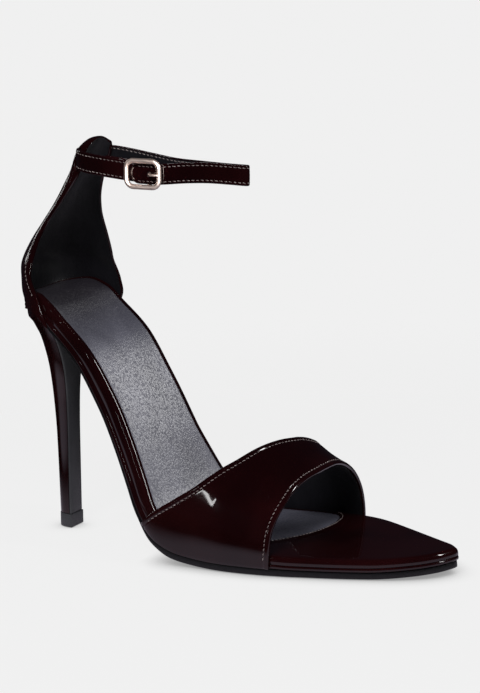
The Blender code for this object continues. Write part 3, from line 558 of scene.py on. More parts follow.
@dataclass(frozen=True)
class Stitching:
    """A row of sewn stitches, each a short thread that dips in at both ends."""

    pitch: float = 0.0021
    length: float = 0.00165
    radius: float = 0.00021
    slant: float = 0.00016
    sides: int = 6

    def sew(self, name: str, runs: list[Pair], thread: Look) -> Piece:
        """Sew every run into one piece.

        Args:
            name: Name of the piece.
            runs: For each run, the places of its line and the normals there.
            thread: Material of the thread.

        Returns:
            The new object.
        """
        vertices: list[Array] = []
        faces: list[tuple[int, ...]] = []
        for line, normals in runs:
            self._run(line, normals, vertices, faces)
        return make_piece(name, np.concatenate(vertices), faces, [thread], sharp=80)

    def _run(self, line: Array, normals: Array, vertices: list, faces: list) -> None:
        """Add the stitches of one run.

        Args:
            line: Places along the run.
            normals: Normals along the run.
            vertices: List that takes the vertices.
            faces: List that takes the faces.
        """
        arc = running(line)
        shares = np.array([-1.0, -0.8, -0.4, 0.0, 0.4, 0.8, 1.0])
        thick = np.array([0.15, 0.62, 0.95, 1.0, 0.95, 0.62, 0.15])
        angles = np.linspace(0, 2 * math.pi, self.sides, endpoint=False)
        for middle in np.arange(self.pitch * 0.6, arc[-1] - self.pitch * 0.5, self.pitch):
            spots = middle + shares * self.length / 2
            places = np.stack([np.interp(spots, arc, line[:, axis]) for axis in range(3)], axis=-1)
            up = unit(np.stack([np.interp(spots, arc, normals[:, axis]) for axis in range(3)], axis=-1))
            ahead = unit(np.broadcast_to(places[-1] - places[0], places.shape))
            beside = unit(np.cross(ahead, up))
            places = places + beside * (shares * self.slant)[:, None]
            places = places + up * (self.radius * (0.45 - 0.9 * shares ** 2))[:, None]
            start = len(vertices) * len(shares) * self.sides
            around = np.cos(angles)[None, :, None] * beside[:, None, :]
            around = around + np.sin(angles)[None, :, None] * up[:, None, :]
            ring = places[:, None, :] + (thick * self.radius)[:, None, None] * around
            vertices.append(ring.reshape(-1, 3))
            faces.extend(grid_faces(len(shares), self.sides, start, closed=True))
            faces.append(tuple(range(start, start + self.sides))[::-1])
            last = start + self.sides * (len(shares) - 1)
            faces.append(tuple(range(last, last + self.sides)))


@dataclass
class BedForm:
    """The bed's middle line and the surface along it, which every other piece is set on."""

    length: float = 0.2130
    tread_share: float = 0.6314
    ball_width: float = 0.0800
    seat_rise: float = 0.1060
    thickness: float = 0.0056
    dish: float = 0.0025
    arch_tilt: float = 0.0030
    edge_round: float = 0.0022
    heel_end: float = 0.0270
    toe_end: float = 0.0060
    toe_centre: float = 0.0020
    seat_centre: float = 0.0012
    sole_thickness: float = 0.0032
    fit: float = 0.0003
    stations: int = 170
    samples: int = 400
    back: float = field(init=False)
    top: float = field(init=False)

    def __post_init__(self) -> None:
        """Lay out the middle line."""
        self.back = -self.tread_share * self.length
        self.top = self.sole_thickness + self.fit + self.thickness
        share = np.linspace(0, 1, self.samples)
        self.x = self.back + share * self.length
        rise = smooth(column(BED_ROWS, "along"), column(BED_ROWS, "rise"), share)
        self.z = self.top + rise * self.seat_rise
        slope_x = np.gradient(self.x)
        slope_z = np.gradient(self.z)
        size = np.hypot(slope_x, slope_z)
        self.normal_x = -slope_z / size
        self.normal_z = slope_x / size
        self.arc = np.concatenate([[0], np.cumsum(np.hypot(np.diff(self.x), np.diff(self.z)))])
        self.run = float(self.arc[-1])
        self.share = share

    def seat_level(self) -> float:
        """Height of the bed's top at the seat."""
        return self.top + self.seat_rise

    def read(self, name: str, arc: Array) -> Array:
        """A column of the bed's table at arc lengths."""
        share = np.interp(arc, self.arc, self.share)
        return smooth(column(BED_ROWS, "along"), column(BED_ROWS, name), share)

    def arc_at(self, x: Array | float) -> Array:
        """Arc length of the middle line's point at x."""
        return np.interp(x, self.x, self.arc)

    def depth(self, arc: Array) -> Array:
        """Thickness of the bed at arc lengths."""
        return self.read("depth", arc) * self.thickness

    def edges(self, arc: Array) -> Pair:
        """Lateral and medial edge of the bed at arc lengths."""
        half = self.ball_width / 2
        heel = np.clip(arc / self.heel_end, 0, 1)
        toe = np.clip((self.run - arc) / self.toe_end, 0, 1)
        heel_close = np.sqrt(1 - (1 - heel) ** 2)
        toe_close = np.sqrt(1 - (1 - toe) ** 2)
        edges = []
        for edge in (-self.read("outer", arc) * half, self.read("inner", arc) * half):
            edge = self.seat_centre + (edge - self.seat_centre) * heel_close
            edges.append(self.toe_centre + (edge - self.toe_centre) * toe_close)
        return edges[0], edges[1]

    def point(self, arc: Array, across: Array, height: Array | float) -> Array:
        """Place of a point given along, across and above the bed.

        Args:
            arc: Arc length along the middle line.
            across: Place across, medial positive.
            height: Height along the line's normal.

        Returns:
            The places.
        """
        half = self.ball_width / 2
        outer = -self.read("outer", arc) * half
        inner = self.read("inner", arc) * half
        side = (across - (outer + inner) / 2) / ((inner - outer) / 2)
        up = height + self.read("dish", arc) * self.dish * side ** 2
        up = up + self.read("tilt", arc) * self.arch_tilt * side / 2
        normal_x = np.interp(arc, self.arc, self.normal_x)
        normal_z = np.interp(arc, self.arc, self.normal_z)
        beyond = arc - np.clip(arc, 0, self.run)
        x = np.interp(arc, self.arc, self.x) + up * normal_x + beyond * normal_z
        z = np.interp(arc, self.arc, self.z) + up * normal_z - beyond * normal_x
        return np.stack([x, across + 0 * x, z], axis=-1)

    def spread(self, start: float, end: float, count: int) -> Array:
        """Arc lengths between two shares of the run, closer at both ends and at bends."""
        arcs = np.linspace(self.run * start, self.run * end, 1600)
        slope = np.arctan2(np.interp(arcs, self.arc, self.normal_x), np.interp(arcs, self.arc, self.normal_z))
        turn = np.abs(np.gradient(slope, arcs))
        reach = self.heel_end / 3
        ends = np.exp(-(arcs - arcs[0]) / reach) + np.exp(-(arcs[-1] - arcs) / reach)
        density = 1 / self.run + 0.16 * ends / reach + 0.35 * turn
        total = np.concatenate([[0], np.cumsum((density[1:] + density[:-1]) / 2)])
        even = np.linspace(0, 1, count + 1)
        blend = even * 0.7 + (1 - np.cos(even * math.pi)) / 2 * 0.3
        return np.interp(blend * total[-1], total, arcs)

    def outline(self) -> Pair:
        """Lateral and medial chains of the bed's outline, each of arc and across."""
        arcs = self.spread(0, 1, self.stations)
        outer, inner = self.edges(arcs)
        return np.stack([arcs, outer], axis=-1), np.stack([arcs, inner], axis=-1)

    def side_base(self, side: Side) -> Array:
        """Bottom edge of the bed's side in world places."""
        arcs = np.linspace(0, self.run, 400)
        outer, inner = self.edges(arcs)
        across = outer if side is Side.LATERAL else inner
        return self.point(arcs, across, -self.depth(arcs))


def inset(chains: Pair, margin: Array | float) -> Pair:
    """Move both chains of a closed outline inward.

    Args:
        chains: Lateral and medial chain.
        margin: How far, one length or one for each station.

    Returns:
        The moved chains.
    """
    outer, inner = chains
    count = len(outer)
    loop = np.concatenate([outer, inner[-2:0:-1]])
    margins = np.broadcast_to(margin, (count,))
    margins = np.concatenate([margins, margins[-2:0:-1]])
    tangent = unit(np.roll(loop, -1, axis=0) - np.roll(loop, 1, axis=0))
    inward = np.stack([-tangent[:, 1], tangent[:, 0]], axis=-1)
    moved = loop + inward * margins[:, None]
    return moved[:count], np.concatenate([moved[:1], moved[count:][::-1], moved[count - 1:count]])


def slab(
    name: str,
    bed: BedForm,
    chains: Pair,
    levels: tuple,
    looks: list[Look],
    across: int = 14,
    sharp: float = 40.0,
) -> Piece:
    """A closed body that follows the bed, between its first and its last level.

    Args:
        name: Name of the piece.
        bed: Form that it follows.
        chains: Its outline.
        levels: Inset and height of each ring, from below upward.
        looks: Materials of the piece.
        across: Columns of its flat faces.
        sharp: Edges that turn by more degrees than this stay sharp.

    Returns:
        The new object.
    """
    count = len(chains[0])
    vertices: list[Array] = []
    rings = []
    for margin, height in levels:
        outer, inner = inset(chains, margin)
        heights = np.broadcast_to(height, (count,))
        lateral = bed.point(outer[:, 0], outer[:, 1], heights)
        medial = bed.point(inner[:, 0], inner[:, 1], heights)
        rings.append((outer, inner, heights))
        vertices.extend(lateral)
        vertices.extend(medial[-2:0:-1])
    faces = grid_faces(len(levels), 2 * count - 2, closed=True)
    for level, turn in ((0, 1), (len(levels) - 1, -1)):
        outer, inner, heights = rings[level]
        base = len(vertices)
        for place in range(across + 1):
            share = place / across
            line = outer * (1 - share) + inner * share
            vertices.extend(bed.point(line[:, 0], line[:, 1], heights))
        faces.extend(face[::turn] for face in grid_faces(across + 1, count, base))
    places = np.array(vertices)
    kept = []
    for face in faces:
        corners: list[int] = []
        for corner in face:
            if all(np.abs(places[corner] - places[other]).max() > SPECK for other in corners):
                corners.append(corner)
        if len(corners) > 2:
            kept.append(tuple(corners))
    return make_piece(name, places, kept, looks, sharp=sharp)


class Bench:
    """A small workbench for the nodes of one material or node group."""

    def __init__(self, tree: Tree) -> None:
        """Start on an empty tree."""
        self.tree = tree
        self.tree.nodes.clear()

    def add(self, kind: str, **settings: object) -> Node:
        """Add a node and set its options.

        Args:
            kind: Blender's type name of the node, without its first word.
            **settings: Options of the node by name.

        Returns:
            The node.
        """
        node = self.tree.nodes.new(kind if kind.startswith("Node") else "ShaderNode" + kind)
        for name, value in settings.items():
            setattr(node, name, value)
        node.location = (len(self.tree.nodes) * 180, 0)
        return node

    def give(self, value: Socket | float | tuple, *ends: Socket) -> None:
        """Join an output to inputs, or set them to a number or a colour."""
        for end in ends:
            if isinstance(value, Socket):
                self.tree.links.new(value, end)
            elif isinstance(value, tuple) and len(end.default_value) == 4:
                end.default_value = (*value, 1.0)
            else:
                end.default_value = value

    def place(self, scale: tuple | None = None) -> Socket:
        """Coordinates on the object, stretched where a scale is given."""
        place = self.add("TexCoord").outputs["Object"]
        if scale is None:
            return place
        node = self.add("Mapping")
        self.give(scale, node.inputs["Scale"])
        self.give(place, node.inputs["Vector"])
        return node.outputs["Vector"]

    def noise(self, vector: Socket, scale: Socket | float, detail: float = 3.0) -> Socket:
        """A noise value on given coordinates."""
        node = self.add("TexNoise")
        self.give(scale, node.inputs["Scale"])
        self.give(detail, node.inputs["Detail"])
        self.give(vector, node.inputs["Vector"])
        return node.outputs["Fac"]

    def spread(self, value: Socket, source: tuple, target: tuple = (0.0, 1.0)) -> Socket:
        """Map a value from one range to another, kept inside it."""
        node = self.add("MapRange", interpolation_type="SMOOTHSTEP")
        self.give(value, node.inputs["Value"])
        for name, limit in zip(("From Min", "From Max", "To Min", "To Max"), (*source, *target)):
            self.give(limit, node.inputs[name])
        return node.outputs["Result"]

    def math(self, operation: str, one: Socket, two: Socket | float) -> Socket:
        """One sum on values."""
        node = self.add("Math", operation=operation)
        self.give(one, node.inputs[0])
        self.give(two, node.inputs[1])
        return node.outputs[0]

    def blend(self, mask: Socket, one: Socket | tuple, two: Socket | tuple) -> Socket:
        """A colour between two by a mask."""
        node = self.add("Mix", data_type="RGBA")
        self.give(mask, node.inputs["Factor"])
        self.give(one, node.inputs[6])
        self.give(two, node.inputs[7])
        return node.outputs[2]

    def span(self, place: Socket, centre: tuple = (0.0, 0.0, 0.0)) -> Socket:
        """Distance of a place from a centre."""
        node = self.add("VectorMath", operation="DISTANCE")
        self.give(place, node.inputs[0])
        node.inputs[1].default_value = centre
        return node.outputs["Value"]

    def mixed(self, mask: Socket, one: Node, two: Node) -> Node:
        """A shader between two by a mask."""
        node = self.add("MixShader")
        self.give(mask, node.inputs["Fac"])
        self.give(one.outputs[0], node.inputs[1])
        self.give(two.outputs[0], node.inputs[2])
        return node


class Effects:
    """Effects that more than one finish uses, each a node group built once."""

    def __init__(self) -> None:
        """Build the groups."""
        self.grain = self._grain()
        self.waves = self._waves()
        self.rub = self._rub()

    def _start(self, name: str, inputs: dict[str, float], outputs: list[str]) -> tuple[Bench, Node, Node]:
        """Make an empty group with its sockets.

        Args:
            name: Name of the group.
            inputs: Number inputs and their values.
            outputs: Number outputs.

        Returns:
            The bench, the group's input node and its output node.
        """
        tree = bpy.data.node_groups.new(name, "ShaderNodeTree")
        for label, value in inputs.items():
            socket = tree.interface.new_socket(label, in_out="INPUT", socket_type="NodeSocketFloat")
            socket.default_value = value
        for label in outputs:
            tree.interface.new_socket(label, in_out="OUTPUT", socket_type="NodeSocketFloat")
        bench = Bench(tree)
        return bench, bench.add("NodeGroupInput"), bench.add("NodeGroupOutput")

    def _grain(self) -> Tree:
        """Fine leather grain: small pebbles with soft creases between them."""
        inputs = {"Scale": 1500.0, "Crease Scale": 120.0}
        bench, given, out = self._start("leather_grain", inputs, ["Height", "Pores"])
        place = bench.place()
        pebble = bench.add("TexVoronoi", feature="SMOOTH_F1")
        pebble.inputs["Smoothness"].default_value = 0.6
        bench.give(place, pebble.inputs["Vector"])
        bench.give(given.outputs["Scale"], pebble.inputs["Scale"])
        soft = bench.math("MULTIPLY", bench.noise(place, given.outputs["Crease Scale"], 4.0), 1.4)
        far = pebble.outputs["Distance"]
        bench.give(bench.math("SUBTRACT", soft, far), out.inputs["Height"])
        bench.give(bench.spread(far, (0.35, 0.8)), out.inputs["Pores"])
        return bench.tree

    def _waves(self) -> Tree:
        """Slow hand-made unevenness of a glossy film, with a faint fine peel."""
        bench, given, out = self._start("film_waves", {"Scale": 45.0, "Peel": 0.06}, ["Height", "Patch"])
        place = bench.place()
        wide = bench.noise(place, given.outputs["Scale"], 1.0)
        peel = bench.math("MULTIPLY", bench.noise(place, 900.0, 2.0), given.outputs["Peel"])
        bench.give(bench.math("ADD", wide, peel), out.inputs["Height"])
        bench.give(bench.spread(bench.noise(place, 28.0, 4.0), (0.35, 0.68)), out.inputs["Patch"])
        return bench.tree

    def _rub(self) -> Tree:
        """Wear where an edge stands out, broken up by noise."""
        bench, given, out = self._start("edge_rub", {"Low": 0.52, "High": 0.62, "Scale": 300.0}, ["Mask"])
        point = bench.add("NewGeometry").outputs["Pointiness"]
        edge = bench.spread(point, (given.outputs["Low"], given.outputs["High"]))
        broken = bench.noise(bench.place(), given.outputs["Scale"], 5.0)
        mask = bench.math("MULTIPLY", edge, bench.spread(broken, (0.3, 0.65), (0.25, 1.0)))
        bench.give(mask, out.inputs["Mask"])
        return bench.tree


class Material:
    """A material on the workbench: one shader, with helpers that every finish shares."""

    def __init__(self, name: str) -> None:
        """Start a material with an empty shader."""
        self.look = bpy.data.materials.new(name)
        self.look.use_nodes = True
        self.bench = Bench(self.look.node_tree)
        self.shader = self.bench.add("BsdfPrincipled")
        out = self.bench.add("OutputMaterial")
        self.bench.give(self.shader.outputs["BSDF"], out.inputs["Surface"])

    def set(self, **values: object) -> None:
        """Set sockets of the shader; underscores stand for spaces."""
        for name, value in values.items():
            self.shader.inputs[name.replace("_", " ")].default_value = value

    def group(self, tree: Tree, **values: float) -> Node:
        """Place a shared effect with its own values."""
        node = self.bench.add("Group", node_tree=tree)
        for name, value in values.items():
            node.inputs[name.replace("_", " ")].default_value = value
        return node

    def feed(
        self, color: Socket, value: Socket | None = None, rough: tuple = (), source: tuple = (0.0, 1.0)
    ) -> None:
        """Join a varying colour to the shader, and a roughness that a value spreads over a range.

        Args:
            color: The colour.
            value: Value that the roughness follows.
            rough: Least and greatest roughness.
            source: Least and greatest value.
        """
        self.bench.give(color, self.shader.inputs["Base Color"])
        if value is not None:
            self.bench.give(self.bench.spread(value, source, rough), self.shader.inputs["Roughness"])

    def bump(self, height: Socket, strength: float, distance: float, under: Node | None = None) -> Node:
        """Relief from a height.

        Args:
            height: The height value.
            strength: Strength of the relief.
            distance: Depth of the relief in metres.
            under: A relief below this one.

        Returns:
            The bump node, joined to the shader.
        """
        node = self.bench.add("Bump")
        self.bench.give(strength, node.inputs["Strength"])
        self.bench.give(distance, node.inputs["Distance"])
        self.bench.give(height, node.inputs["Height"])
        if under is not None:
            self.bench.give(under.outputs["Normal"], node.inputs["Normal"])
        self.bench.give(node.outputs["Normal"], self.shader.inputs["Normal"])
        return node


@dataclass(frozen=True)
class PatentFinish:
    """Patent leather: a deep oxblood under a clear hard film."""

    deep: tuple = (0.0062, 0.0008, 0.0011)
    warm: tuple = (0.0125, 0.0018, 0.0021)
    worn: tuple = (0.0320, 0.0110, 0.0110)
    rough: tuple = (0.16, 0.24)
    wave_depth: float = 0.00040
    film_rough: float = 0.028

    def make(self, effects: Effects) -> Look:
        """Make the material."""
        made = Material("patent_oxblood_film")
        waves = made.group(effects.waves, Scale=38.0, Peel=0.02)
        rub = made.group(effects.rub, Low=0.56, High=0.70, Scale=420.0)
        tone = made.bench.blend(waves.outputs["Patch"], self.deep, self.warm)
        tone = made.bench.blend(rub.outputs["Mask"], tone, self.worn)
        made.feed(tone, waves.outputs["Patch"], self.rough)
        made.set(Specular_IOR_Level=0.12, IOR=1.5)
        made.set(Coat_Weight=1.0, Coat_Roughness=self.film_rough, Coat_IOR=1.5)
        made.bump(waves.outputs["Height"], 0.35, self.wave_depth)
        return made.look


@dataclass(frozen=True)
class LiningFinish:
    """Black lining: a thin smooth leather with faint creases and a low sheen."""

    dark: tuple = (0.0032, 0.0030, 0.0042)
    light: tuple = (0.0110, 0.0105, 0.0135)
    rough: tuple = (0.42, 0.60)
    fold_scale: tuple = (140.0, 140.0, 22.0)
    fold_depth: float = 0.0009
    grain_depth: float = 0.00010

    def make(self, effects: Effects) -> Look:
        """Make the material."""
        made = Material("lining_black")
        grain = made.group(effects.grain, Scale=1900.0, Crease_Scale=90.0)
        fold = made.bench.noise(made.bench.place(self.fold_scale), 1.0)
        made.feed(made.bench.blend(fold, self.dark, self.light), grain.outputs["Pores"], self.rough)
        made.set(Specular_IOR_Level=0.45, Sheen_Weight=0.05)
        under = made.bump(fold, 0.45, self.fold_depth)
        made.bump(grain.outputs["Height"], 0.30, self.grain_depth, under)
        return made.look


@dataclass(frozen=True)
class SockFinish:
    """Soft sock leather: slate grey in painted lit and shaded patches, with painted shade towards the seat, a
    fine grain and a broad sheen.
    """

    # seat is a painted shade colour; shade and lit are painted shaded and lit tones of the leather.
    seat: tuple = (0.016, 0.014, 0.018)
    shade: tuple = (0.072, 0.072, 0.094)
    lit: tuple = (0.130, 0.130, 0.164)
    rough: tuple = (0.36, 0.55)
    # Where along X the painted seat shade fades out.
    seat_reach: tuple = (-0.116, -0.088)
    wave_depth: float = 0.0012
    grain_depth: float = 0.00015

    def make(self, effects: Effects) -> Look:
        """Make the material."""
        made = Material("sock_slate_leather")
        grain = made.group(effects.grain, Scale=950.0, Crease_Scale=70.0)
        waves = made.group(effects.waves, Scale=26.0, Peel=0.02)
        along = made.bench.add("SeparateXYZ")
        made.bench.give(made.bench.place(), along.inputs[0])
        # Painted light and shade: shaded and lit tones of the leather, spread in noise patches.
        tone = made.bench.blend(waves.outputs["Patch"], self.shade, self.lit)
        # Painted shade: the leather darkens towards the seat, where the counter shades it.
        tone = made.bench.blend(made.bench.spread(along.outputs["X"], self.seat_reach), self.seat, tone)
        made.feed(tone, grain.outputs["Pores"], self.rough)
        made.set(Specular_IOR_Level=0.55)
        under = made.bump(waves.outputs["Height"], 0.5, self.wave_depth)
        made.bump(grain.outputs["Height"], 0.50, self.grain_depth, under)
        return made.look


@dataclass(frozen=True)
class SoleFinish:
    """Black outsole: satin resin, scuffed on its edges."""

    black: tuple = (0.0050, 0.0050, 0.0056)
    scuffed: tuple = (0.060, 0.058, 0.058)
    rough: tuple = (0.32, 0.50)
    grain_depth: float = 0.00012

    def make(self, effects: Effects) -> Look:
        """Make the material."""
        made = Material("outsole_black")
        grain = made.group(effects.grain, Scale=700.0, Crease_Scale=240.0)
        rub = made.group(effects.rub, Low=0.54, High=0.66, Scale=500.0)
        tone = made.bench.blend(rub.outputs["Mask"], self.black, self.scuffed)
        made.feed(tone, grain.outputs["Pores"], self.rough)
        made.set(Specular_IOR_Level=0.4)
        made.bump(grain.outputs["Height"], 0.25, self.grain_depth)
        return made.look


@dataclass(frozen=True)
class CharcoalFinish:
    """Charcoal top piece and breast strip: dull moulded rubber."""

    dark: tuple = (0.030, 0.031, 0.035)
    light: tuple = (0.052, 0.053, 0.058)
    rough: tuple = (0.44, 0.60)
    grain_depth: float = 0.00010

    def make(self, effects: Effects) -> Look:
        """Make the material."""
        made = Material("charcoal_rubber")
        grain = made.group(effects.grain, Scale=1600.0, Crease_Scale=300.0)
        waves = made.group(effects.waves, Scale=60.0, Peel=0.3)
        tone = made.bench.blend(waves.outputs["Patch"], self.dark, self.light)
        made.feed(tone, grain.outputs["Pores"], self.rough)
        made.bump(grain.outputs["Height"], 0.3, self.grain_depth)
        return made.look


@dataclass(frozen=True)
class MetalFinish:
    """Rose gold plating with a soft polish and hair scratches."""

    bright: tuple = (0.95, 0.79, 0.71)
    dull: tuple = (0.88, 0.68, 0.59)
    rough: tuple = (0.34, 0.46)
    hair_scale: tuple = (400.0, 4000.0, 4000.0)
    wave_depth: float = 0.00020

    def make(self, effects: Effects) -> Look:
        """Make the material."""
        made = Material("rose_gold_plate")
        waves = made.group(effects.waves, Scale=160.0, Peel=0.25)
        hair = made.bench.noise(made.bench.place(self.hair_scale), 1.0, 2.0)
        tone = made.bench.blend(waves.outputs["Patch"], self.bright, self.dull)
        made.feed(tone, hair, self.rough, (0.3, 0.7))
        made.set(Metallic=1.0)
        made.bump(waves.outputs["Height"], 0.35, self.wave_depth)
        return made.look


@dataclass(frozen=True)
class ThreadFinish:
    """Waxed sewing thread, twisted, dark, with a pale glint painted into its colour along the plies."""

    dark: tuple = (0.050, 0.030, 0.030)
    # The pale colour below is a painted glint along the plies.
    light: tuple = (0.40, 0.34, 0.33)
    ply_depth: float = 0.00010

    def make(self) -> Look:
        """Make the material."""
        made = Material("waxed_thread")
        ply = made.bench.noise(made.bench.place(), 2600.0, 2.0)
        # Painted glint: pale colour in patches along the twist.
        made.feed(made.bench.blend(made.bench.spread(ply, (0.42, 0.62)), self.dark, self.light))
        made.set(Roughness=0.34, Specular_IOR_Level=0.7)
        made.bump(ply, 0.4, self.ply_depth)
        return made.look


@dataclass
class Finishes:
    """Every finish of the shoe, made once."""

    effects: Effects = field(default_factory=Effects)

    def __post_init__(self) -> None:
        """Make the materials."""
        self.patent = PatentFinish().make(self.effects)
        self.lining = LiningFinish().make(self.effects)
        self.sock = SockFinish().make(self.effects)
        self.sole = SoleFinish().make(self.effects)
        self.charcoal = CharcoalFinish().make(self.effects)
        self.metal = MetalFinish().make(self.effects)
        self.thread = ThreadFinish().make()
        self.lined = [self.patent, self.lining]


@dataclass
class Outsole:
    """The outsole: flat tread, thin shank, cut off at the heel's breast."""

    bed: BedForm
    finishes: Finishes
    breast: float
    margin: float = 0.0012
    edge_round: float = 0.0008

    def build(self) -> list[Piece]:
        """Build and dress the outsole."""
        bed = self.bed
        chains = bed.outline()
        arcs = chains[0][:, 0]
        margin = bed.read("sole", arcs) * self.margin
        top = -bed.depth(arcs) - bed.fit
        bottom = top - bed.read("tread", arcs) * bed.sole_thickness
        turn = self.edge_round
        levels = (
            (margin + turn, bottom),
            (margin + turn * 0.5, bottom + turn * 0.12),
            (margin + turn * 0.15, bottom + turn * 0.45),
            (margin, bottom + turn),
            (margin, top - turn * 0.4),
            (margin + turn * 0.12, top - turn * 0.1),
            (margin + turn * 0.4, top),
        )
        sole = slab("outsole_resin", bed, chains, levels, [self.finishes.sole])
        low = (self.breast - bed.length / 2, -bed.ball_width, -0.05)
        cutter = make_box("sole_end", low, (self.breast, bed.ball_width, 0.3))
        carve(sole, cutter)
        return [dress(sole, "sole_black", "outsole")]


def make_box(name: str, low: tuple[float, float, float], high: tuple[float, float, float]) -> Piece:
    """A plain box between two corners, used only as a cutter."""
    corners = np.array(list(product(*zip(low, high))))
    faces = [(0, 1, 3, 2), (4, 6, 7, 5), (0, 4, 5, 1), (2, 3, 7, 6), (0, 2, 6, 4), (1, 5, 7, 3)]
    return make_piece(name, corners, faces, [])


@dataclass
class SockOutline:
    """Outline of the sock: inside the bed's, closed in front by an oblique round end."""

    bed: BedForm
    margin: float = 0.0032
    front: float = 0.0100
    nose: float = 0.0250
    outer_radius: float = 0.0540
    inner_radius: float = 0.0080
    stations: int = 150

    def chains(self, margin: float = 0.0) -> Pair:
        """Both chains of the outline, moved inward by a margin.

        Args:
            margin: How far inward.

        Returns:
            Lateral and medial chain.
        """
        bed = self.bed
        front = float(bed.arc_at(self.front)) - margin
        arcs = bed.spread((self.margin + margin) / bed.run, front / bed.run, self.stations)
        outer, inner = inset(bed.outline(), self.margin + margin)
        chains = []
        for line, radius in ((outer, self.outer_radius), (inner, self.inner_radius)):
            across = np.interp(arcs, line[:, 0], line[:, 1])
            share = np.clip((front - arcs) / radius, 0, 1)
            close = np.sqrt(1 - (1 - share) ** 2)
            chains.append(np.stack([arcs, self.nose + (across - self.nose) * close], axis=-1))
        return chains[0], chains[1]


@dataclass
class Bed:
    """The wrapped bed with its sock, and the toe cover's stitched edge over the sock."""

    bed: BedForm
    finishes: Finishes
    seam: float = 0.68
    seam_depth: float = 0.0004
    sock_thickness: float = 0.0009
    pocket: float = 0.0014
    cover_overlap: float = 0.0013
    cover_height: float = 0.00055
    cover_reach: float = 0.0024

    def build(self) -> list[Piece]:
        """Build and dress the bed, the sock and the toe cover's edge."""
        outline = SockOutline(self.bed)
        return [self._board(outline), self._sock(outline), *self._toe_cover(outline)]

    def _board(self, outline: SockOutline) -> Piece:
        """The bed with rounded edges, a seam along its side and the sock's pocket."""
        bed = self.bed
        chains = bed.outline()
        depth = bed.depth(chains[0][:, 0])
        edge = bed.edge_round
        groove = self.seam_depth
        levels = (
            (edge * 0.3, -depth),
            (edge * 0.08, -depth + edge * 0.08),
            (0.0, -depth + edge * 0.3),
            (0.0, -depth * (self.seam + 0.07)),
            (groove * 0.6, -depth * (self.seam + 0.03)),
            (groove, -depth * self.seam),
            (groove * 0.6, -depth * (self.seam - 0.03)),
            (0.0, -depth * (self.seam - 0.07)),
            (0.0, -edge * 1.05),
            (edge * 0.05, -edge * 0.72),
            (edge * 0.17, -edge * 0.45),
            (edge * 0.36, -edge * 0.22),
            (edge * 0.62, -edge * 0.07),
            (edge, 0.0),
        )
        board = slab("bed_wrap", bed, chains, levels, [self.finishes.patent], across=16, sharp=50)
        levels = ((0.0, -self.pocket), (0.0, 4 * self.pocket))
        looks = [self.finishes.patent]
        carve(board, slab("sock_pocket", bed, outline.chains(-bed.fit), levels, looks, across=6), 50)
        return dress(board, "patent_oxblood", "footbed")

    def _sock(self, outline: SockOutline) -> Piece:
        """The soft leather sock in the bed's pocket."""
        floor = -self.pocket + self.bed.fit
        top = floor + self.sock_thickness
        turn = self.sock_thickness * 0.5
        levels = (
            (0.0, floor),
            (0.0, top - turn),
            (turn * 0.3, top - turn * 0.3),
            (turn, top),
        )
        looks = [self.finishes.sock]
        sock = slab("sock_leather", self.bed, outline.chains(), levels, looks, across=24, sharp=60)
        return dress(sock, "sock_slate", "sock")

    def _toe_cover(self, outline: SockOutline) -> list[Piece]:
        """The folded edge of the toe cover, with its stitches."""
        over = self.cover_overlap
        high = self.cover_height
        section = (
            (over, -0.00018),
            (over * 1.06, high * 0.25),
            (over * 0.98, high * 0.62),
            (over * 0.78, high * 0.9),
            (over * 0.45, high),
            (0.0, high * 0.96),
            (-self.cover_reach * 0.35, high * 0.78),
            (-self.cover_reach * 0.7, high * 0.36),
            (-self.cover_reach, 0.00002),
            (-self.cover_reach, -0.0003),
        )
        rows = []
        for margin, height in section:
            line = self._front_line(outline, margin)
            rows.append(self.bed.point(line[:, 0], line[:, 1], height))
        grid = np.array(rows)
        count = grid.shape[1]
        vertices = grid.reshape(-1, 3)
        faces = grid_faces(len(rows), count)
        for place in range(count - 1):
            last = count * (len(rows) - 1)
            faces.append((place, place + 1, last + place + 1, last + place))
        for place in (0, count - 1):
            faces.append(tuple(place + count * row for row in range(len(rows))))
        edge = make_piece("toe_cover_edge", vertices, faces, [self.finishes.patent], sharp=50)
        line = self._front_line(outline, over * 0.12)
        places = self.bed.point(line[:, 0], line[:, 1], high * 0.97)
        up = np.broadcast_to(np.array([0.0, 0.0, 1.0]), places.shape)
        stitching = Stitching(pitch=0.0019, length=0.0014)
        seam = stitching.sew("toe_cover_stitches", [(places, up)], self.finishes.thread)
        return [dress(edge, "patent_oxblood"), dress(seam, "patent_oxblood")]

    def _front_line(self, outline: SockOutline, margin: float) -> Array:
        """The sock's front outline at a margin, from its lateral side round the nose."""
        outer, inner = outline.chains(margin)
        start = outer[-1, 0] - outline.outer_radius * 0.80
        end = inner[-1, 0] - outline.inner_radius * 1.0
        lateral = outer[outer[:, 0] > start]
        medial = inner[inner[:, 0] > end][::-1]
        line = np.concatenate([lateral, medial[1:]])
        arc = running(line)
        even = np.linspace(0, arc[-1], 120)
        return np.stack([np.interp(even, arc, line[:, 0]), np.interp(even, arc, line[:, 1])], axis=-1)


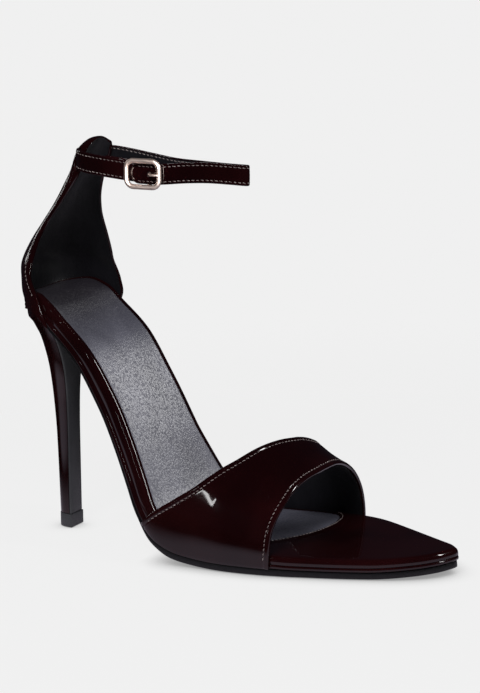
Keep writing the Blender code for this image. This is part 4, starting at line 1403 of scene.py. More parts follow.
@dataclass
class Band:
    """The wide patent band over the forefoot: one wall with rolled, stitched edges."""

    bed: BedForm
    finishes: Finishes
    wall: float = 0.0019
    crown: float = 0.0490
    centre: float = 0.0060
    rear_reach: float = 0.0600
    front_reach: float = 0.0190
    outer_squareness: float = 2.4
    inner_squareness: float = 2.0
    stitch_inset: float = 0.0025
    roll_height: float = 0.00016
    groove_depth: float = 0.00014

    def surface(self, around: Array, forward: Array) -> Array:
        """Outer face of the band.

        Args:
            around: Shares of the way from the lateral to the medial base.
            forward: Places along X.

        Returns:
            The places.
        """
        stand = self.bed.fit + self.wall
        lateral = self.bed.side_base(Side.LATERAL)
        medial = self.bed.side_base(Side.MEDIAL)
        low = np.interp(forward, lateral[:, 0], lateral[:, 1]) - stand
        high = np.interp(forward, medial[:, 0], medial[:, 1]) + stand
        floor_a = np.interp(forward, lateral[:, 0], lateral[:, 2])
        floor_b = np.interp(forward, medial[:, 0], medial[:, 2])
        floor = floor_a * (1 - around) + floor_b * around
        share = forward / self.rear_reach
        height = smooth(column(CROWN_ROWS, "forward"), column(CROWN_ROWS, "height"), share) * self.crown
        angle = math.pi * around
        power = np.where(around < 0.5, 2 / self.outer_squareness, 2 / self.inner_squareness)
        side = np.sign(np.cos(angle)) * np.abs(np.cos(angle)) ** power
        reach = np.where(side > 0, self.centre - low, high - self.centre)
        y = self.centre - side * reach
        z = floor + height * np.abs(np.sin(angle)) ** power
        return np.stack([forward + 0 * y, y, z], axis=-1)

    def _relief(self, inset_by: Array) -> Array:
        """Height of the folded edge strip and its stitch groove at a distance from the edge."""
        knots = np.array([0.0, 0.9, 1.6, 2.1, 2.5, 3.0, 4.2]) * MM
        heights = np.array([0.2, 0.9, 1.0, 0.4, -self.groove_depth / self.roll_height, 0.0, 0.0])
        return smooth(knots, heights, inset_by) * self.roll_height

    def build(self) -> list[Piece]:
        """Build and dress the band and its stitches."""
        ends = np.array([0.0, 0.0015, 0.004, 0.008, 0.014, 0.022])
        around = np.concatenate([ends, np.linspace(0.03, 0.97, 150), 1 - ends[::-1]])
        knots = column(BAND_ROWS, "around")
        rear = -smooth(knots, column(BAND_ROWS, "rear"), around) * self.rear_reach
        front = smooth(knots, column(BAND_ROWS, "front"), around) * self.front_reach
        half = self.wall / 2
        near = np.array([0.95, 1.15, 1.45, 1.8, 2.1, 2.3, 2.5, 2.7, 2.95, 3.3, 3.8, 4.5]) * MM
        rear_rate, rear_away = self._edge_way(around, rear, -1)
        front_rate, front_away = self._edge_way(around, front, 1)
        forwards = [rear + step / rear_rate for step in near]
        first = forwards[-1]
        last = front - near[-1] / front_rate
        forwards += [first * (1 - share) + last * share for share in np.linspace(0, 1, 42)[1:-1]]
        forwards += [front - step / front_rate for step in near[::-1]]
        grid = np.array([self.surface(around, forward) for forward in forwards])
        normals = grid_normals(grid, np.array([-0.02, self.centre, 0.015]))
        depth = np.full(len(forwards), 0.01)
        depth[:len(near)] = near
        depth[-len(near):] = near[::-1]
        outer = grid + normals * self._relief(depth)[:, None, None]
        tuck = np.zeros(len(around))
        tuck[:3] = (0.00055, 0.00022, 0.00005)
        tuck[-3:] = (0.00005, 0.00022, 0.00055)
        outer = outer - normals * tuck[None, :, None]
        inner = grid - normals * self.wall
        wide = np.full(len(around), half)
        loop = list(outer)
        loop += rim(outer[-1], inner[-1], front_away, wide)
        loop += list(inner[::-1])
        loop += rim(inner[0], outer[0], rear_away, wide)
        item = self._close(loop, len(forwards), len(around))
        runs = []
        inset_row = int(np.argmin(np.abs(near - self.stitch_inset)))
        for index in (inset_row, len(forwards) - 1 - inset_row):
            keep = slice(4, len(around) - 4)
            runs.append((outer[index, keep], normals[index, keep]))
        seams = Stitching().sew("band_stitches", runs, self.finishes.thread)
        return [dress(item, "patent_oxblood", "vamp"), dress(seams, "patent_oxblood")]

    def _edge_way(self, around: Array, edge: Array, sign: int) -> Pair:
        """How an edge runs against X.

        Args:
            around: Shares round the band.
            edge: Place of the edge along X at each share.
            sign: 1 for the front edge and -1 for the rear edge.

        Returns:
            The distance from the edge per length along X, and the direction out of the edge.
        """
        line = self.surface(around, edge)
        along = unit(np.gradient(line, axis=0))
        step = 0.0005
        ahead = (self.surface(around, edge + step) - self.surface(around, edge - step)) / (2 * step)
        square = ahead - along * np.sum(ahead * along, axis=1, keepdims=True)
        rate = np.linalg.norm(square, axis=1)
        return np.maximum(rate, 0.25), unit(square) * sign

    def _close(self, loop: list[Array], rows: int, columns: int) -> Piece:
        """Join the loop of rows to a closed wall, patent outside and lining inside."""
        count = len(loop)
        vertices = np.concatenate(loop)
        faces = grid_faces(count, columns)
        last = columns * (count - 1)
        for place in range(columns - 1):
            faces.append((last + place, last + place + 1, place + 1, place))
        wears = []
        steps = (count - 2 * rows) // 2
        for row in range(count):
            lined = rows + steps <= row < count - steps - 1
            wears.extend([1 if lined else 0] * (columns - 1))
        for place in (0, columns - 1):
            for row in range(rows - 1):
                mate = 2 * rows + steps - 1 - row
                faces.append(tuple(columns * number + place for number in (row, row + 1, mate - 1, mate)))
            faces.append(tuple(columns * number + place for number in range(rows - 1, rows + steps + 1)))
            end = range(2 * rows + steps - 1, count + 1)
            faces.append(tuple(columns * (number % count) + place for number in end))
            wears.extend([0] * (rows + 1))
        return make_piece("forefoot_band", vertices, faces, self.finishes.lined, wears, 60)


@dataclass
class StrapRoute:
    """Where the ankle strap runs, and the heel counter's form that carries it."""

    bed: BedForm
    wall: float = 0.0020
    height: float = 0.0714
    half_width: float = 0.0300
    reach: float = 0.0330
    sleeve_wall: float = 0.0043
    sleeve_margin: float = 0.0048
    tab_fall: float = 0.046
    strap_width: float = 0.0094
    strap_thickness: float = 0.0019
    strap_length: float = 0.0880
    strap_half_width: float = 0.0154

    def level(self) -> float:
        """Height of the middle of the sleeve."""
        return self.bed.seat_level() + self.height - self.sleeve_margin - self.strap_width / 2

    def section(self, up: Array, around: Array, inside: Array | float) -> Array:
        """A point of the counter.

        Args:
            up: Height share above the seat.
            around: Share of the way from the lateral to the medial front edge.
            inside: How far inside the outer face.

        Returns:
            The places.
        """
        ups = column(COUNTER_ROWS, "up")
        start = self.bed.back - self.bed.fit - self.wall
        names = ("back", "width", "deep", "outer", "inner")
        values = {name: smooth(ups, column(COUNTER_ROWS, name), up) for name in names}
        back = start + values["back"] * self.reach
        width = values["width"] * self.half_width
        deep = values["deep"] * self.reach
        outer = start + values["outer"] * self.reach
        inner = start + values["inner"] * self.reach
        outer_angle = np.arccos(np.clip(1 - (outer - back) / deep, -1, 1))
        inner_angle = np.arccos(np.clip(1 - (inner - back) / deep, -1, 1))
        angle = -outer_angle * (1 - around) + inner_angle * around
        x = back + inside + (deep - inside) * (1 - np.cos(angle))
        centre = self.bed.seat_centre * np.clip(1 - up, 0, 1)
        y = centre + (width - inside) * np.sin(angle)
        z = self.bed.seat_level() + up * self.height + 0 * x
        return np.stack([x, y, z], axis=-1)

    def back_x(self) -> float:
        """Place along X of the back of the strap's middle layer, inside the sleeve."""
        up = (self.level() - self.bed.seat_level()) / self.height
        return float(self.section(np.array([up]), np.array([0.5]), self.sleeve_wall / 2)[0, 0])

    def middle(self, steps: int = 10) -> Array:
        """Middle line of the strap, from its short end to its tail."""
        places = np.stack([
            self.back_x() + column(STRAP_ROWS, "forward") * self.strap_length,
            column(STRAP_ROWS, "across") * self.strap_half_width,
            self.level() - column(STRAP_ROWS, "drop") * self.strap_width,
        ], axis=-1)
        return flowing(places, steps)


def ribbon(
    name: str,
    path: Array,
    section: list[tuple[float, float, int]],
    looks: list[Look],
    tall: Array | None = None,
) -> Piece:
    """A flat strip on edge along a path.

    Args:
        name: Name of the piece.
        path: Middle line.
        section: Side, height and material number of each corner of its section.
        looks: Materials of the piece.
        tall: Share of the section's height at each place, all of it when left out.

    Returns:
        The new object.
    """
    ahead = np.gradient(path, axis=0)
    side = unit(np.stack([ahead[:, 1], -ahead[:, 0], 0 * ahead[:, 0]], axis=-1))
    share = np.ones(len(path)) if tall is None else tall
    count = len(section)
    vertices = []
    for place, way, high in zip(path, side, share):
        for beside, up, _ in section:
            vertices.append(place + way * beside + np.array([0.0, 0.0, up * high]))
    faces = grid_faces(len(path), count, closed=True)
    wears = [section[index][2] for _ in range(len(path) - 1) for index in range(count)]
    faces.append(tuple(range(count)))
    end = count * (len(path) - 1)
    faces.append(tuple(range(end, end + count))[::-1])
    wears += [0, 0]
    return make_piece(name, np.array(vertices), faces, looks, wears, 50)


def strap_section(
    width: float, thickness: float, corner: float, channel: float, pillow: float
) -> list[tuple[float, float, int]]:
    """Section of a strap, its outer face on the negative side, with a stitch channel by each edge.

    Args:
        width: Width of the strap.
        thickness: Thickness of the strap.
        corner: Radius of its edges.
        channel: Distance of the stitch channels from the edges.
        pillow: How far the outer face swells.

    Returns:
        Side, height and material number of each corner.
    """

    def arc(side: float, height: float, start: float) -> list[tuple[float, float, int]]:
        """Points of one rounded edge about its centre, from a starting angle."""
        angles = [math.radians(start - 22.5 * step) for step in (1, 2, 3)]
        return [(side + corner * math.cos(a), height + corner * math.sin(a), 0) for a in angles]

    half = width / 2
    thick = thickness / 2
    dip = 0.00010
    lip = 0.00035
    outer = [
        (-thick, -half + corner),
        (-thick, -half + channel - lip),
        (-thick + dip, -half + channel),
        (-thick, -half + channel + lip),
        (-thick - pillow * 0.7, -half * 0.42),
        (-thick - pillow, 0.0),
        (-thick - pillow * 0.7, half * 0.42),
        (-thick, half - channel - lip),
        (-thick + dip, half - channel),
        (-thick, half - channel + lip),
        (-thick, half - corner),
    ]
    return [
        *((*place, 0) for place in outer),
        *arc(-thick + corner, half - corner, 180),
        (-thick + corner, half, 0),
        (thick - corner, half, 0),
        *arc(thick - corner, half - corner, 90),
        (thick, half - corner, 1),
        (thick, 0.0, 1),
        (thick, -half + corner, 0),
        *arc(thick - corner, -half + corner, 0),
        (thick - corner, -half, 0),
        (-thick + corner, -half, 0),
        *arc(-thick + corner, -half + corner, -90),
    ]


@dataclass
class HeelCounter:
    """The heel counter: a lined cup with two wings that narrows to the strap's sleeve."""

    bed: BedForm
    finishes: Finishes
    route: StrapRoute
    blend: float = 0.24
    roll_height: float = 0.00014
    stitch_inset: float = 0.0024
    rim_bulge: float = 0.0009
    eases: int = 4

    def _around(self) -> Array:
        """Shares round the cup, close together by both front edges."""
        ends = np.array([0.0, 0.003, 0.006, 0.010, 0.014, 0.018, 0.022, 0.026, 0.030, 0.036, 0.044])
        return np.concatenate([ends, np.linspace(0.055, 0.945, 90), 1 - ends[::-1]])

    def _base(self, around: Array, up: float, margin: float) -> Pair:
        """Arc and across of a line a margin outside the bed's edge, between a level's front edges."""
        route = self.route
        ups = column(COUNTER_ROWS, "up")
        start = self.bed.back - self.bed.fit - route.wall
        outer_front = self.bed.arc_at(start + smooth(ups, column(COUNTER_ROWS, "outer"), up) * route.reach)
        inner_front = self.bed.arc_at(start + smooth(ups, column(COUNTER_ROWS, "inner"), up) * route.reach)
        outer, inner = inset(self.bed.outline(), -margin)
        line = np.concatenate([outer[::-1], inner[1:]])
        arc = running(line)
        half = len(outer)
        begin = np.interp(outer_front, outer[:, 0], arc[:half][::-1])
        end = np.interp(inner_front, inner[:, 0], arc[half - 1:])
        places = begin + (end - begin) * around
        return np.interp(places, arc, line[:, 0]), np.interp(places, arc, line[:, 1])

    def _thick(self, share: float) -> float:
        """Wall of the cup at a height share: thin below, thick at the sleeve."""
        route = self.route
        level = self.bed.seat_level() + share * route.height
        thick = (level - route.level() + route.strap_width * 1.5) / route.strap_width
        thick = min(1.0, max(0.0, thick))
        return route.wall + (route.sleeve_wall - route.wall) * thick

    def _face(self, around: Array, levels: Array, inside: bool) -> Array:
        """Rows of one face of the cup, from its lower edge to its top.

        Args:
            around: Shares round the cup.
            levels: Height shares.
            inside: Whether this is the inner face.

        Returns:
            Rows by columns of places.
        """
        bed = self.bed
        route = self.route
        margin = 2 * bed.fit + route.wall
        rows = []
        first_wall = self._thick(float(levels[0])) if inside else 0.0
        for share in (-1.0, -0.8, -0.6, -0.4, -0.2, 0.0, 0.15):
            up = share * bed.thickness / route.height
            arc, across = self._base(around, up, margin - first_wall)
            rows.append(bed.point(arc, across, bed.depth(np.maximum(arc, 0)) * share))
        first = (rows[-1][:, 2] - bed.seat_level()) / route.height
        top = 1 - route.tab_fall * smooth(column(TAB_ROWS, "around"), column(TAB_ROWS, "fall"), around)
        for share in levels:
            wall = self._thick(float(share)) if inside else 0.0
            up = first + (top - first) * share
            form = route.section(up, around, wall)
            blend = min(1.0, share / self.blend)
            blend = blend * blend * (3 - 2 * blend)
            if blend < 1:
                arc, across = self._base(around, float(up[0]), margin - wall)
                base = bed.point(arc, across, 0 * arc)
                form[:, :2] = base[:, :2] * (1 - blend) + form[:, :2] * blend
            rows.append(form)
        face = np.array(rows)
        for _ in range(self.eases):
            face[4:10] = (face[3:9] + 2 * face[4:10] + face[5:11]) / 4
        return face

    def build(self) -> list[Piece]:
        """Build and dress the counter and its stitches."""
        around = self._around()
        top = np.array([0.915, 0.93, 0.945, 0.955, 0.965, 0.975, 0.982, 0.988, 0.994, 1.0])
        levels = np.concatenate([np.linspace(0.03, 0.90, 42), top])
        outer = self._face(around, levels, False)
        inner = self._face(around, levels, True)
        centre = np.array([-0.1, 0.0, 0.14])
        normals = grid_normals(outer, centre)
        walk = running(outer, 1)
        climb = running(outer, 0)
        far = np.minimum(walk, walk[:, -1:] - walk)
        far = np.minimum(far, climb[-1:] - climb)
        knots = np.array([0.0, 0.8, 1.5, 2.0, 2.4, 2.9, 4.0]) * MM
        relief = smooth(knots, np.array([-0.6, 0.6, 1.0, 0.4, -0.8, 0.0, 0.0]), far) * self.roll_height
        dressed = outer + normals * relief[..., None]
        cup = self._shell(dressed, inner)
        self._slot(cup)
        runs = []
        for flip in (False, True):
            lines = []
            ways = []
            for row in range(4, len(outer) - 2):
                dist = walk[row] if not flip else (walk[row, -1] - walk[row])[::-1]
                places = dressed[row] if not flip else dressed[row][::-1]
                facing = normals[row] if not flip else normals[row][::-1]
                lines.append([np.interp(self.stitch_inset, dist, places[:, axis]) for axis in range(3)])
                ways.append([np.interp(self.stitch_inset, dist, facing[:, axis]) for axis in range(3)])
            runs.append((np.array(lines), unit(np.array(ways))))
        seams = Stitching().sew("counter_stitches", runs, self.finishes.thread)
        return [dress(cup, "patent_oxblood", "counter"), dress(seams, "patent_oxblood")]

    def _shell(self, outer: Array, inner: Array) -> Piece:
        """Close both faces with rolled rims at the fronts and the top."""
        rows, columns = outer.shape[:2]
        steps = 5
        grids = [outer.reshape(-1, 3), inner.reshape(-1, 3)]
        half = rows * columns
        faces = grid_faces(rows, columns)
        wears = [0] * len(faces)
        mates = [tuple(corner + half for corner in face[::-1]) for face in grid_faces(rows, columns)]
        faces += mates
        wears += [1] * len(mates)
        start = 2 * half
        for place, next_place in ((0, 1), (columns - 1, columns - 2)):
            away = unit(outer[:, place] - outer[:, next_place])
            fade = np.clip((rows - 1 - np.arange(rows)) / 5.0, 0, 1)
            bulge = np.full(rows, self.rim_bulge) * fade
            strip = rim(outer[:, place], inner[:, place], away, bulge, steps)
            chain = [np.arange(rows) * columns + place]
            for line in strip:
                grids.append(line)
                chain.append(start + np.arange(rows))
                start += rows
            chain.append(np.arange(rows) * columns + place + half)
            added = self._strip(chain)
            faces += added
            wears += [0] * len(added)
            faces.append(tuple(int(line[0]) for line in chain))
            wears.append(0)
            faces.append(tuple(int(line[-1]) for line in chain)[::-1])
            wears.append(0)
        away = unit(outer[-1] - outer[-3])
        fade = np.clip(np.minimum(np.arange(columns), columns - 1 - np.arange(columns)) / 6.0, 0, 1)
        strip = rim(outer[-1], inner[-1], away, np.full(columns, self.rim_bulge) * fade, steps)
        chain = [np.arange(columns) + (rows - 1) * columns]
        for line in strip:
            grids.append(line)
            chain.append(start + np.arange(columns))
            start += columns
        chain.append(np.arange(columns) + (rows - 1) * columns + half)
        added = self._strip(chain)
        added += self._strip([np.arange(columns), np.arange(columns) + half])
        faces += added
        wears += [0] * len(added)
        return make_piece("heel_counter_cup", np.concatenate(grids), faces, self.finishes.lined, wears, 60)

    def _strip(self, chain: list[Array]) -> list[tuple[int, ...]]:
        """Quads between rows of vertex numbers."""
        faces = []
        for one, two in zip(chain[:-1], chain[1:]):
            for place in range(len(one) - 1):
                faces.append((int(one[place]), int(one[place + 1]), int(two[place + 1]), int(two[place])))
        return faces

    def _slot(self, cup: Piece) -> None:
        """Cut the sleeve's slot for the strap."""
        route = self.route
        path = route.middle()
        near = path[path[:, 0] < route.back_x() + route.strap_length * 0.2]
        half = route.strap_width / 2 + self.bed.fit
        thick = route.strap_thickness / 2 + self.bed.fit
        section = [(thick, -half, 0), (thick, half, 0), (-thick, half, 0), (-thick, -half, 0)]
        cutter = ribbon("sleeve_slot", near, section, [self.finishes.lining])
        carve(cup, cutter, 60)


@dataclass
class AnkleStrap:
    """The ankle strap: lined, stitched along both edges, folded back at the buckle."""

    bed: BedForm
    finishes: Finishes
    route: StrapRoute
    prong_x: float
    corner: float = 0.00055
    channel: float = 0.00135
    pillow: float = 0.00010
    hole_radius: float = 0.0012
    hole_pitch: float = 0.0112
    fold_length: float = 0.0270
    fold_thickness: float = 0.0011

    def build(self) -> list[Piece]:
        """Build and dress the strap, its fold and its stitches."""
        route = self.route
        path = route.middle()
        half = route.strap_width / 2
        left = np.linalg.norm(path - path[-1], axis=1)
        tall = np.ones(len(path))
        tail = (left < half) & (np.arange(len(path)) > len(path) // 2)
        tall[tail] = np.sqrt(np.maximum(1 - (1 - left[tail] / half) ** 2, 0.02))
        sizes = (route.strap_width, route.strap_thickness, self.corner, self.channel, self.pillow)
        strap = ribbon("ankle_strap_leather", path, strap_section(*sizes), self.finishes.lined, tall)
        for index in range(2):
            self._hole(strap, path, index)
        ahead = np.gradient(path, axis=0)
        side = unit(np.stack([ahead[:, 1], -ahead[:, 0], 0 * ahead[:, 0]], axis=-1))
        runs = []
        keep = np.arange(3, int(np.argmax(tail)) + 2)
        offset = half - self.channel
        for face, depth in ((-1, route.strap_thickness / 2 - 0.0001), (1, route.strap_thickness / 2)):
            for edge in (-1, 1):
                line = path + side * face * depth + np.array([0.0, 0.0, edge * offset])
                runs.append((line[keep], side[keep] * face))
        seams = Stitching().sew("strap_stitches", runs, self.finishes.thread)
        fold = self._fold(path, side)
        return [
            dress(strap, "patent_oxblood", "ankle_strap"),
            dress(seams, "patent_oxblood"),
            dress(fold, "patent_oxblood"),
        ]

    def _hole(self, strap: Piece, path: Array, index: int) -> None:
        """Punch one hole through the tail."""
        forward = self.prong_x + index * self.hole_pitch
        later = path[len(path) // 2:]
        spot = later[int(np.argmin(np.abs(later[:, 0] - forward)))]
        thick = self.route.strap_thickness
        ends = (spot[1] - thick * 1.6, spot[1] + thick * 0.9)
        line = np.array([[forward, end, spot[2]] for end in ends])
        cutter = sweep("strap_hole", line, self.hole_radius, [self.finishes.lining], sides=28)
        carve(strap, cutter, 50)

    def _fold(self, path: Array, side: Array) -> Piece:
        """The short end's second layer, on the inner side back from the centre bar."""
        arc = running(path)
        keep = arc < self.fold_length
        gap = self.route.strap_thickness / 2 + self.fold_thickness / 2 + 0.00004
        line = path[keep] + side[keep] * gap + np.array([0.0, 0.0, 0.00035])
        close = np.clip((self.fold_length - arc[keep]) / 0.004, 0.08, 1)
        sizes = (self.route.strap_width * 0.98, self.fold_thickness, self.corner * 0.8, self.channel)
        section = strap_section(*sizes, 0.0)
        mirrored = [(-beside, up, 0) for beside, up, _ in section]
        return ribbon("strap_fold", line, mirrored, [self.finishes.patent], np.sqrt(close))


@dataclass
class Buckle:
    """The buckle: a round-cornered frame with its centre bar, and the prong."""

    bed: BedForm
    finishes: Finishes
    route: StrapRoute
    place: float = 0.494
    length: float = 0.0189
    height: float = 0.0141
    bar: float = 0.0023
    corner: float = 0.0036
    centre_bar: float = 0.0016
    prong: float = 0.0011
    bend: float = 0.0003

    def centre(self) -> Array:
        """Middle of the frame."""
        route = self.route
        forward = route.back_x() + self.place * route.strap_length
        across = STRAP_ROWS[-1].across * route.strap_half_width - route.strap_thickness / 2
        across = across - self.bed.fit - self.bar / 2
        return np.array([forward, across, route.level() - STRAP_ROWS[-1].drop * route.strap_width])

    def bar_x(self) -> float:
        """Place along X of the centre bar."""
        return float(self.centre()[0]) + self.centre_bar * 0.6

    def prong_x(self) -> float:
        """Place along X where the prong passes through the strap."""
        return self.bar_x() + self.centre_bar / 2 + self.bed.fit + self.prong / 2

    def behind(self) -> float:
        """Place along Y of the centre bar's axis, behind the strap's short end."""
        short = STRAP_ROWS[0].across * self.route.strap_half_width
        return short - self.route.strap_thickness / 2 - self.bed.fit - self.centre_bar / 2

    def build(self) -> list[Piece]:
        """Build and dress the frame with its centre bar, and the prong."""
        centre = self.centre()
        half_x = (self.length - self.bar) / 2
        half_z = (self.height - self.bar) / 2
        return [
            dress(self._frame(centre, half_x, half_z), "rose_gold", "buckle_frame"),
            dress(self._staple(centre, half_z), "rose_gold"),
            dress(self._pin(centre, half_x), "rose_gold", "buckle_prong"),
        ]

    def _frame(self, centre: Array, half_x: float, half_z: float) -> Piece:
        """The round-cornered frame."""
        ring = []
        for index in range(4):
            middle_x = (half_x - self.corner) * (1 if index in (0, 3) else -1)
            middle_z = (half_z - self.corner) * (1 if index in (0, 1) else -1)
            for step in range(15):
                angle = (index + step / 14) * math.pi / 2
                x = middle_x + self.corner * math.cos(angle)
                ring.append(centre + np.array([x, 0.0, middle_z + self.corner * math.sin(angle)]))
        looks = [self.finishes.metal]
        return sweep("buckle_frame_bar", np.array(ring), self.bar / 2, looks, closed=True, sides=24)

    def _staple(self, centre: Array, half_z: float) -> Piece:
        """The centre bar: from one long side of the frame round behind the strap to the other."""
        behind = self.behind()
        tuck = self.route.strap_width / 2 + self.centre_bar / 2 + self.bed.fit
        upper = (
            (centre[1], half_z),
            ((behind + centre[1]) / 2, half_z),
            (behind + self.centre_bar * 0.6, half_z - self.bend),
            (behind, tuck - self.bend),
        )
        x = self.bar_x()
        places = [(x, across, centre[2] + up) for across, up in upper]
        places.append((x, behind, centre[2]))
        places.extend((x, across, centre[2] - up) for across, up in upper[::-1])
        line = flowing(np.array(places), 5)
        return sweep("buckle_centre_bar", line, self.centre_bar / 2, [self.finishes.metal])

    def _pin(self, centre: Array, half_x: float) -> Piece:
        """The prong: through the strap, forward and over the frame's front bar."""
        radius = self.prong / 2
        over = centre[1] - self.bar / 2 - self.bed.fit - radius
        inner = self.prong_x()
        face = STRAP_ROWS[-1].across * self.route.strap_half_width - self.route.strap_thickness / 2
        places = np.array([
            (inner, self.behind() - radius, centre[2]),
            (inner, face - radius * 0.4, centre[2]),
            (inner + 2 * radius, face - 3 * radius, centre[2]),
            (centre[0] + half_x - 1.3 * self.bar, over, centre[2]),
            (centre[0] + half_x + self.bar * 0.45, over, centre[2]),
        ])
        line = flowing(places, 6)
        size = np.full(len(line), radius)
        size[-3:] = (radius * 0.95, radius * 0.8, radius * 0.45)
        return sweep("buckle_prong_pin", line, size, [self.finishes.metal])


@dataclass
class Heel:
    """The covered heel block, the strip on its breast and its top piece."""

    bed: BedForm
    finishes: Finishes
    stem_half: float = 0.0052
    stem_depth: float = 0.0068
    top_half: float = 0.0292
    top_depth: float = 0.0184
    inset: float = 0.01465
    cover: float = 0.0009
    tip_height: float = 0.0065
    tip_margin: float = 0.0003
    tip_edge: float = 0.0003
    strip_edge: float = 0.0004
    roundness: float = 0.85
    seat_roundness: float = 1.32
    seat_reach: float = 0.0060
    steps: int = 44

    def breast(self) -> float:
        """Place along X of the heel's flat front."""
        return self.bed.back + self.inset + self.stem_depth / 2

    def rise(self) -> float:
        """Height from the top piece to the seat's base."""
        return self.bed.seat_rise + self.bed.sole_thickness - self.tip_height

    def ring(self, up: float, margin: float = 0.0, reach: float = 0.0, height: float | None = None) -> Array:
        """One section of the heel: a round back and a flat breast.

        Args:
            up: Height share.
            margin: How far the section stands out.
            reach: How far its breast moves forward.
            height: Height of the section, read from the share when left out.

        Returns:
            The places round the section.
        """
        ups = column(HEEL_ROWS, "up")
        share = smooth(ups, column(HEEL_ROWS, "back"), [up])[0]
        deep = self.stem_depth + share * (self.top_depth - self.stem_depth)
        widened = smooth(ups, column(HEEL_ROWS, "half"), [up])[0]
        half = widened * (self.top_half - self.stem_half) + self.stem_half + margin
        roundness = self.roundness + widened * (self.seat_roundness - self.roundness)
        level = self.tip_height + self.bed.fit + up * self.rise() if height is None else height
        front = self.breast() + reach
        deep += reach - margin
        centre = self.bed.seat_centre * np.clip(up, 0, 1) ** 4
        angles = -math.pi / 2 + math.pi * np.linspace(0, 1, self.steps + 1)
        bulge = np.maximum(np.cos(angles), 0.0) ** roundness
        x = front - (deep + 2 * margin) * bulge
        y = centre + half * np.sin(angles)
        ring = np.stack([x, y, 0 * x + level], axis=-1)
        return np.concatenate([ring, [[front, centre, level]]])

    def _loft(self, name: str, rings: list[Array], looks: list[Look]) -> Piece:
        """A closed body through rings."""
        count = len(rings[0])
        faces = grid_faces(len(rings), count, closed=True)
        faces.append(tuple(range(count)))
        faces.append(tuple(range(count * (len(rings) - 1), count * len(rings)))[::-1])
        return make_piece(name, np.concatenate(rings), faces, looks, sharp=45)

    def _seat(self) -> Piece:
        """The space of the bed above the heel."""
        chains = self.bed.outline()
        depth = self.bed.depth(chains[0][:, 0])
        levels = ((-self.seat_reach, -depth - self.bed.fit), (-self.seat_reach, depth * 3))
        return slab("seat_space", self.bed, chains, levels, [self.finishes.patent], across=8)

    def build(self) -> list[Piece]:
        """Build and dress the block, the breast strip and the top piece."""
        ups = np.concatenate([np.linspace(0, 0.5, 16)[:-1], np.linspace(0.5, 1.1, 60)])
        block = self._loft("heel_block", [self.ring(float(up)) for up in ups], [self.finishes.patent])
        carve(block, self._seat(), 45, "MANIFOLD")
        strip = self._strip(ups)
        carve(strip, self._seat(), 45, "MANIFOLD")
        reach = 2 * self.bed.fit + self.cover
        turn = self.tip_edge
        high = self.tip_height
        cuts = (
            (1.0, 0.0),
            (0.3, turn * 0.3),
            (0.0, turn),
            (0.0, high - turn),
            (0.3, high - turn * 0.3),
            (1.0, high),
        )
        rings = [self.ring(0.0, self.tip_margin - turn * cut, reach - turn * cut, up) for cut, up in cuts]
        tip = self._loft("heel_top_piece", rings, [self.finishes.charcoal])
        return [
            dress(block, "patent_oxblood", "heel"),
            dress(strip, "charcoal", "breast_cover"),
            dress(tip, "charcoal", "heel_tip"),
        ]

    def _strip(self, ups: Array) -> Piece:
        """The thin strip on the breast, with soft edges."""
        turn = self.strip_edge
        rings = []
        for up in ups:
            ring = self.ring(float(up))
            half = abs(ring[0][1] - ring[-1][1])
            centre = ring[-1][1]
            level = ring[0][2]
            back = self.breast() + self.bed.fit
            front = back + self.cover
            rings.append(np.array([
                (back, centre - half, level),
                (front - turn, centre - half, level),
                (front - turn * 0.3, centre - half + turn * 0.3, level),
                (front, centre - half + turn, level),
                (front, centre, level),
                (front, centre + half - turn, level),
                (front - turn * 0.3, centre + half - turn * 0.3, level),
                (front - turn, centre + half, level),
                (back, centre + half, level),
            ]))
        return self._loft("heel_breast_strip", rings, [self.finishes.charcoal])


@dataclass(frozen=True)
class Lamp:
    """One soft studio lamp."""

    name: str
    place: tuple[float, float, float]
    aim: tuple[float, float, float]
    size: tuple[float, float]
    power: float
    turn: float = 0.0
    mirrored: bool = True
    only: tuple[str, ...] = ()

    def hang(self) -> None:
        """Put the lamp in the scene."""
        light = bpy.data.lights.new(self.name, "AREA")
        light.shape = "RECTANGLE"
        light.size = self.size[0]
        light.size_y = self.size[1]
        light.energy = self.power
        item = bpy.data.objects.new(self.name, light)
        item.location = self.place
        way = Vector(self.aim) - Vector(self.place)
        facing = way.to_track_quat("-Z", "Y").to_matrix()
        item.rotation_euler = (facing @ Matrix.Rotation(math.radians(self.turn), 3, "Z")).to_euler()
        item.visible_camera = False
        item.visible_glossy = self.mirrored
        if self.only:
            lit = bpy.data.collections.new(self.name)
            for name in self.only:
                lit.objects.link(bpy.data.objects[name])
            item.light_linking.receiver_collection = lit
        bpy.context.scene.collection.objects.link(item)


